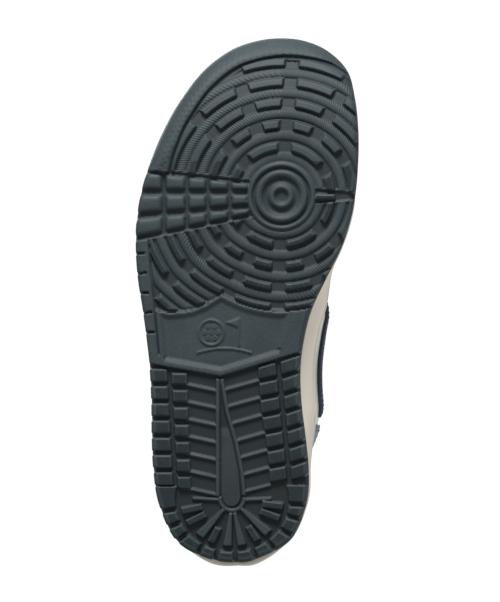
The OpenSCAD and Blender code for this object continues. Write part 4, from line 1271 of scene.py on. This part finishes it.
def insole():
    """The removable insole: a cup with a rounded rim and a slightly hollow middle."""
    n = 360
    s = np.arange(n) / n
    y = station(s)[:, 1]

    def rise(y):
        return feather(y) - TUCK + 4.3 + 2 * smooth(-20, -80, y)

    middle_y = np.clip(y, -92, 92)
    centre = np.stack([np.interp(middle_y, (-92, -40, 30, 92), (7.5, 9, 1, -8)), middle_y], 1)
    rings = []
    for inset, z in ((7.0, -2.6), (6.2, -1.2), (5.8, 0.2), (5.95, 1.0), (6.5, 1.35), (7.4, 1.2), (9, 0.7)):
        xy = edge(s, CUP_WALL + inset, 1)
        rings.append(np.concatenate([xy, (rise(xy[:, 1]) + z)[:, None]], 1))
    rim = rings[-1][:, :2]
    for f in np.linspace(0.04, 1, 26):
        xy = rim * (1 - f) + centre * f
        z = rise(xy[:, 1]) + 0.7 - 1.1 * smooth(0, 0.45, f)
        rings.append(np.concatenate([xy, z[:, None]], 1))
    grid = np.stack(rings, 1)
    m = grid.shape[1]
    faces = grid_faces(n, m, wrap_i=True) + lid([i * m for i in range(n)], True)
    obj = mesh("sockliner", grid.reshape(-1, 3), faces, SOCK, grid[..., :2].reshape(-1, 2))
    weld(obj, 0.0002)
    settle(obj, nodes=("sockliner",))


collar()
insole()

# ---------------------------------------------------------------- tongue

TONGUE_D, TONGUE_GAP, TIP_RISE = 4.0, 5.2, 31.0
TONGUE_MID = -TONGUE_GAP - TONGUE_D / 2


def bridge(s, v):
    """A point across the throat at station s, v from -1 (instep side) to 1 (outer side)."""
    s, v = np.broadcast_arrays(np.asarray(s, float), np.asarray(v, float))
    a, b, c, d = skin(s, 0.66, 0), skin(s, 0.97, 0), skin(1 - s, 0.97, 0), skin(1 - s, 0.66, 0)
    p = np.stack([2 * a - b, a, b, c, d, 2 * d - c])
    e = 1.5 - 1.5 * v
    i = np.clip(np.floor(e), 0, 2).astype(int)
    four = [np.take_along_axis(p, (i + k)[None, ..., None], 0)[0] for k in range(4)]
    return blend4(*four, (e - i)[..., None])


def bridge_normal(s, v):
    n = np.cross(bridge(s, v + 0.05) - bridge(s, v - 0.05), bridge(s + 0.004, v) - bridge(s - 0.004, v))
    return unit(np.where(n[..., 2:] < 0, -n, n))


def tip_point(f, v, d):
    """A point of the free end, f from the hinge (0) to the rounded top (1)."""
    w = v * (0.27 + 0.19 * smooth(0.45, 0.9, f)) * (1 - 0.12 * f**4)
    out = bridge(HINGE, w) + d[..., None] * bridge_normal(HINGE, w)
    top = bridge(HINGE, 0 * w)[..., 2] + d
    rise = 2.2 + (TIP_RISE - 2.2) * f * (1 - 0.12 * np.abs(v) ** 3 * f)
    out[..., 2] += (top - out[..., 2]) * 0.55 * f + 0.86 * rise
    out[..., 1] += -0.5 * rise - 2.5 * f * f
    return out


def tongue_point(g, v, d):
    """g below 0 runs down the throat from the hinge to the toe, above 0 up the free end."""
    g, v, d = np.broadcast_arrays(*(np.asarray(q, float) for q in (g, v, d)))
    s = HINGE - 0.006 + (HINGE - 0.006 - THROAT + 0.014) * np.minimum(g, 0)
    w = v * (0.27 + 0.42 * smooth(-0.02, -0.3, g))
    sewn = bridge(s, w) + d[..., None] * bridge_normal(s, w)
    f = smooth(-0.06, 0.12, g)[..., None]
    return sewn * (1 - f) + tip_point(np.clip(g, 0, 1), v, d) * f


def tongue():
    g = np.concatenate([np.linspace(-1, -0.06, 60), np.linspace(-0.04, 0.97, 44), [0.98, 0.99, 0.996, 1.0]])
    v = np.sin(np.linspace(-1, 1, 57) * math.pi / 2) * 0.35 + np.linspace(-1, 1, 57) * 0.65
    gg, vv = np.meshgrid(g, v, indexing="ij")
    # padding swells between the bound edge and two sewn lines, and thins out to the edge
    from_edge = np.minimum((1 - np.abs(vv)) * 22, (1 - gg) * 30)
    from_line = np.minimum(np.abs(gg - 0.12), np.abs(gg - 0.9)) * 30
    pad = (0.55 + 0.45 * smooth(1.5, 6, from_edge)) * (0.72 + 0.28 * smooth(0, 2.2, from_line))
    roll = np.sqrt(np.clip(1 - (1 - np.clip(from_edge / 1.4, 0, 1)) ** 2, 0.02, 1))
    half = TONGUE_D / 2 * pad * roll
    inner, outer = tongue_point(gg, vv, TONGUE_MID - half), tongue_point(gg, vv, TONGUE_MID + half)
    obj = shell("tongue_padding", inner, outer, vv * 26, gg * 60, TONGUE_CLOTH)
    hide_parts("tongue_base", "tongue_tip")
    before, after = tongue_point(-0.1, 0.0, TONGUE_MID), tongue_point(0.16, 0.0, TONGUE_MID)
    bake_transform(obj)
    # binding tape up one side of the free end, over its top and down the other
    side = np.stack([np.linspace(0.3, 0.93, 40), np.full(40, 0.985)], 1)
    corner = np.stack([0.96 + 0.04 * np.cos([-1, 0, 1]), np.linspace(0.985, 0.93, 3)], 1)
    across = np.stack([np.full(40, 1.0), np.linspace(0.9, -0.9, 40)], 1)
    path = np.concatenate([side, corner, across, (corner * (1, -1))[::-1], (side * (1, -1))[::-1]])
    line = tongue_point(path[:, 0], path[:, 1], TONGUE_MID)
    tape = cord("tongue_binding", BINDING, line, (0.0, -0.86, -0.5), 1.5, 1.5, around=12)
    settle(tape, TONGUE)
    seam = Seams("tongue_stitching", THREAD_WHITE, "tongue_cloth", TONGUE)
    across = np.linspace(-0.86, 0.86, 60)
    row = tongue_point(0.9, across, TONGUE_MID + 1.5)
    seam.run(row, row - tongue_point(0.9, across, TONGUE_MID), pitch=2.6)
    seam.make()


def cord(name, mat, line, up, width, height, around=16, scale=1.0):
    """A round or flat cord along a line, with its uv in millimetres."""
    t = unit(np.gradient(line, axis=0))
    u = unit(up - t * np.sum(up * t, -1, keepdims=True))
    side = np.cross(t, u) * (width / 2 * np.broadcast_to(scale, len(line)))[:, None]
    ang = np.arange(around) * 2 * math.pi / around
    squarish = np.sign(np.cos(ang)) * np.abs(np.cos(ang)) ** 0.8
    ring = side[:, None] * squarish[:, None] + u[:, None] * (height / 2 * np.sin(ang))[:, None]
    pts = (line[:, None] + ring).reshape(-1, 3)
    across = np.abs(((ang / math.pi) % 2) - 1) * (width + height)
    uv = np.stack(np.broadcast_arrays(run_length(line)[:, None], across[None]), -1).reshape(-1, 2)
    faces = grid_faces(len(line), around, wrap_j=True)
    faces.append(tuple(range(around)))
    faces.append(tuple((len(line) - 1) * around + k for k in range(around))[::-1])
    return mesh(name, pts, faces, mat, uv)


def label():
    """The label on the tongue, embroidered with a flag on a pin inside a border."""
    low, top, wide = 0.42, 0.8, 0.5
    g, v = np.meshgrid(np.linspace(low, top, 22), np.linspace(-wide, wide, 30), indexing="ij")
    e = np.minimum(np.minimum(g - low, top - g) * 30, (wide - np.abs(v)) * 18)
    face = -TONGUE_GAP + 0.35 + 0.35 * smooth(0, 0.5, e)
    inner, outer = tongue_point(g, v, -TONGUE_GAP - 0.6), tongue_point(g, v, face)
    obj = shell("tongue_label", inner, outer, v * 18, g * 30, LABEL)
    settle(obj, TONGUE, ("tongue_label",))
    seam = Seams("label_embroidery", THREAD_WHITE, "tongue_cloth", TONGUE)
    f = np.linspace(0, 1, 40)

    def run(gs, vs, pitch, length, radius):
        line = tongue_point(gs + 0 * f, vs + 0 * f, -TONGUE_GAP + 0.75)
        inner = tongue_point(gs + 0 * f, vs + 0 * f, -TONGUE_GAP - 1.0)
        seam.run(line, line - inner, pitch, length, radius)

    for g_row in (0.45, 0.77):
        run(g_row, f * 0.88 - 0.44, 1.1, 1.05, 0.22)
    for v_row in (-0.44, 0.44):
        run(0.45 + 0.32 * f, v_row, 1.1, 1.05, 0.22)
    run(0.5 + 0.22 * f, 0.08, 0.8, 1.0, 0.28)
    for k in range(5):
        run(0.725 - 0.02 * k, 0.08 - f * (0.3 - 0.055 * k), 0.7, 0.9, 0.25)
    turn = f * 2 * math.pi
    run(0.515 + 0.016 * np.sin(turn), 0.22 + 0.035 * np.cos(turn), 0.5, 0.7, 0.22)
    seam.make()


tongue()
label()

# ---------------------------------------------------------------- lace

CORD_UP = (0.0, 0.45, 0.9)  # the lace lies flat across this direction


def bar(side, k):
    """Up through one eyelet, over both edges of the throat and down through the paired eyelet."""
    climb = ((EYELET_T, -2.5), (EYELET_T, 2.5), (0.925, 3.2), (0.965, 3.0), (1.0, 2.7))
    first, second = ([skin(mirror(q, EYELET_S[k]), t, d) for t, d in climb] for q in (side, -side))
    middle = (first[-1] + second[-1]) / 2 + np.array([0, 0, 0.5])
    return first + [middle] + second[::-1]


def under(side, k, m, shift):
    """The run under the eyestay from eyelet k to eyelet m, passing the ones between to one side."""
    pts = []
    for u in (0.12, 0.35, 0.65, 0.88):
        s = EYELET_S[k] + (EYELET_S[m] - EYELET_S[k]) * u
        pts.append(skin(mirror(side, s), EYELET_T + shift * math.sin(math.pi * u), -3.1))
    return pts


def lace_end(side, k, shift):
    """The tucked end, under the eyestay on the way back to the ankle."""
    ends = [(EYELET_S[k] + 0.016 * u, EYELET_T - shift * u, -3.2 - 1.6 * u) for u in (0.3, 0.7, 1.0)]
    return [skin(mirror(side, s), t, d) for s, t, d in ends]


def lace():
    route = lace_end(-1, 4, 0.21)[::-1] + bar(-1, 4) + under(1, 2, 4, 0.055)[::-1] + bar(1, 2)
    route += under(-1, 0, 2, 0.055)[::-1] + bar(-1, 0) + under(1, 0, 1, -0.03) + bar(1, 1)
    route += under(-1, 1, 3, -0.055) + bar(-1, 3) + under(1, 3, 5, -0.055) + bar(1, 5) + lace_end(-1, 5, 0.21)
    p = np.array(route)
    ends = [p[0], *p, p[-1]]
    line = []
    for a, b, c, d in zip(ends, ends[1:], ends[2:], ends[3:]):
        steps = max(3, int(np.linalg.norm(c - b) / 0.8))
        line += [blend4(a, b, c, d, k / steps) for k in range(steps)]
    line = np.array(line + [p[-1]])
    # narrower where it bunches up in an eyelet
    eyes = np.array([skin(mirror(side, s), EYELET_T, 0.8) for side in (1, -1) for s in EYELET_S])
    to_eye = np.linalg.norm(line[:, None] - eyes[None], axis=2).min(1)
    narrowing = 0.62 + 0.38 * smooth(2.0, 6.5, to_eye)
    settle(cord("lace", LACE, line, CORD_UP, 5.6, 1.5, scale=narrowing), nodes=("lace",))
    f = np.linspace(0, 1, 16)
    taper = np.sqrt(np.clip(1 - np.clip((f - 0.9) / 0.1, 0, 1) ** 2, 0.1, 1))
    taper = taper * (1 - 0.08 * (np.abs(f - 0.5) < 0.03))
    for name, end, beside in (("first", p[0], p[1]), ("second", p[-1], p[-2])):
        tip = end + unit(end - beside) * (0.3 + 8.0 * f)[:, None]
        aglet = cord("aglet_" + name, CLEAR, tip, CORD_UP, 2.2, 2.0, scale=taper)
        settle(aglet, nodes=("aglet_" + name,))


lace()
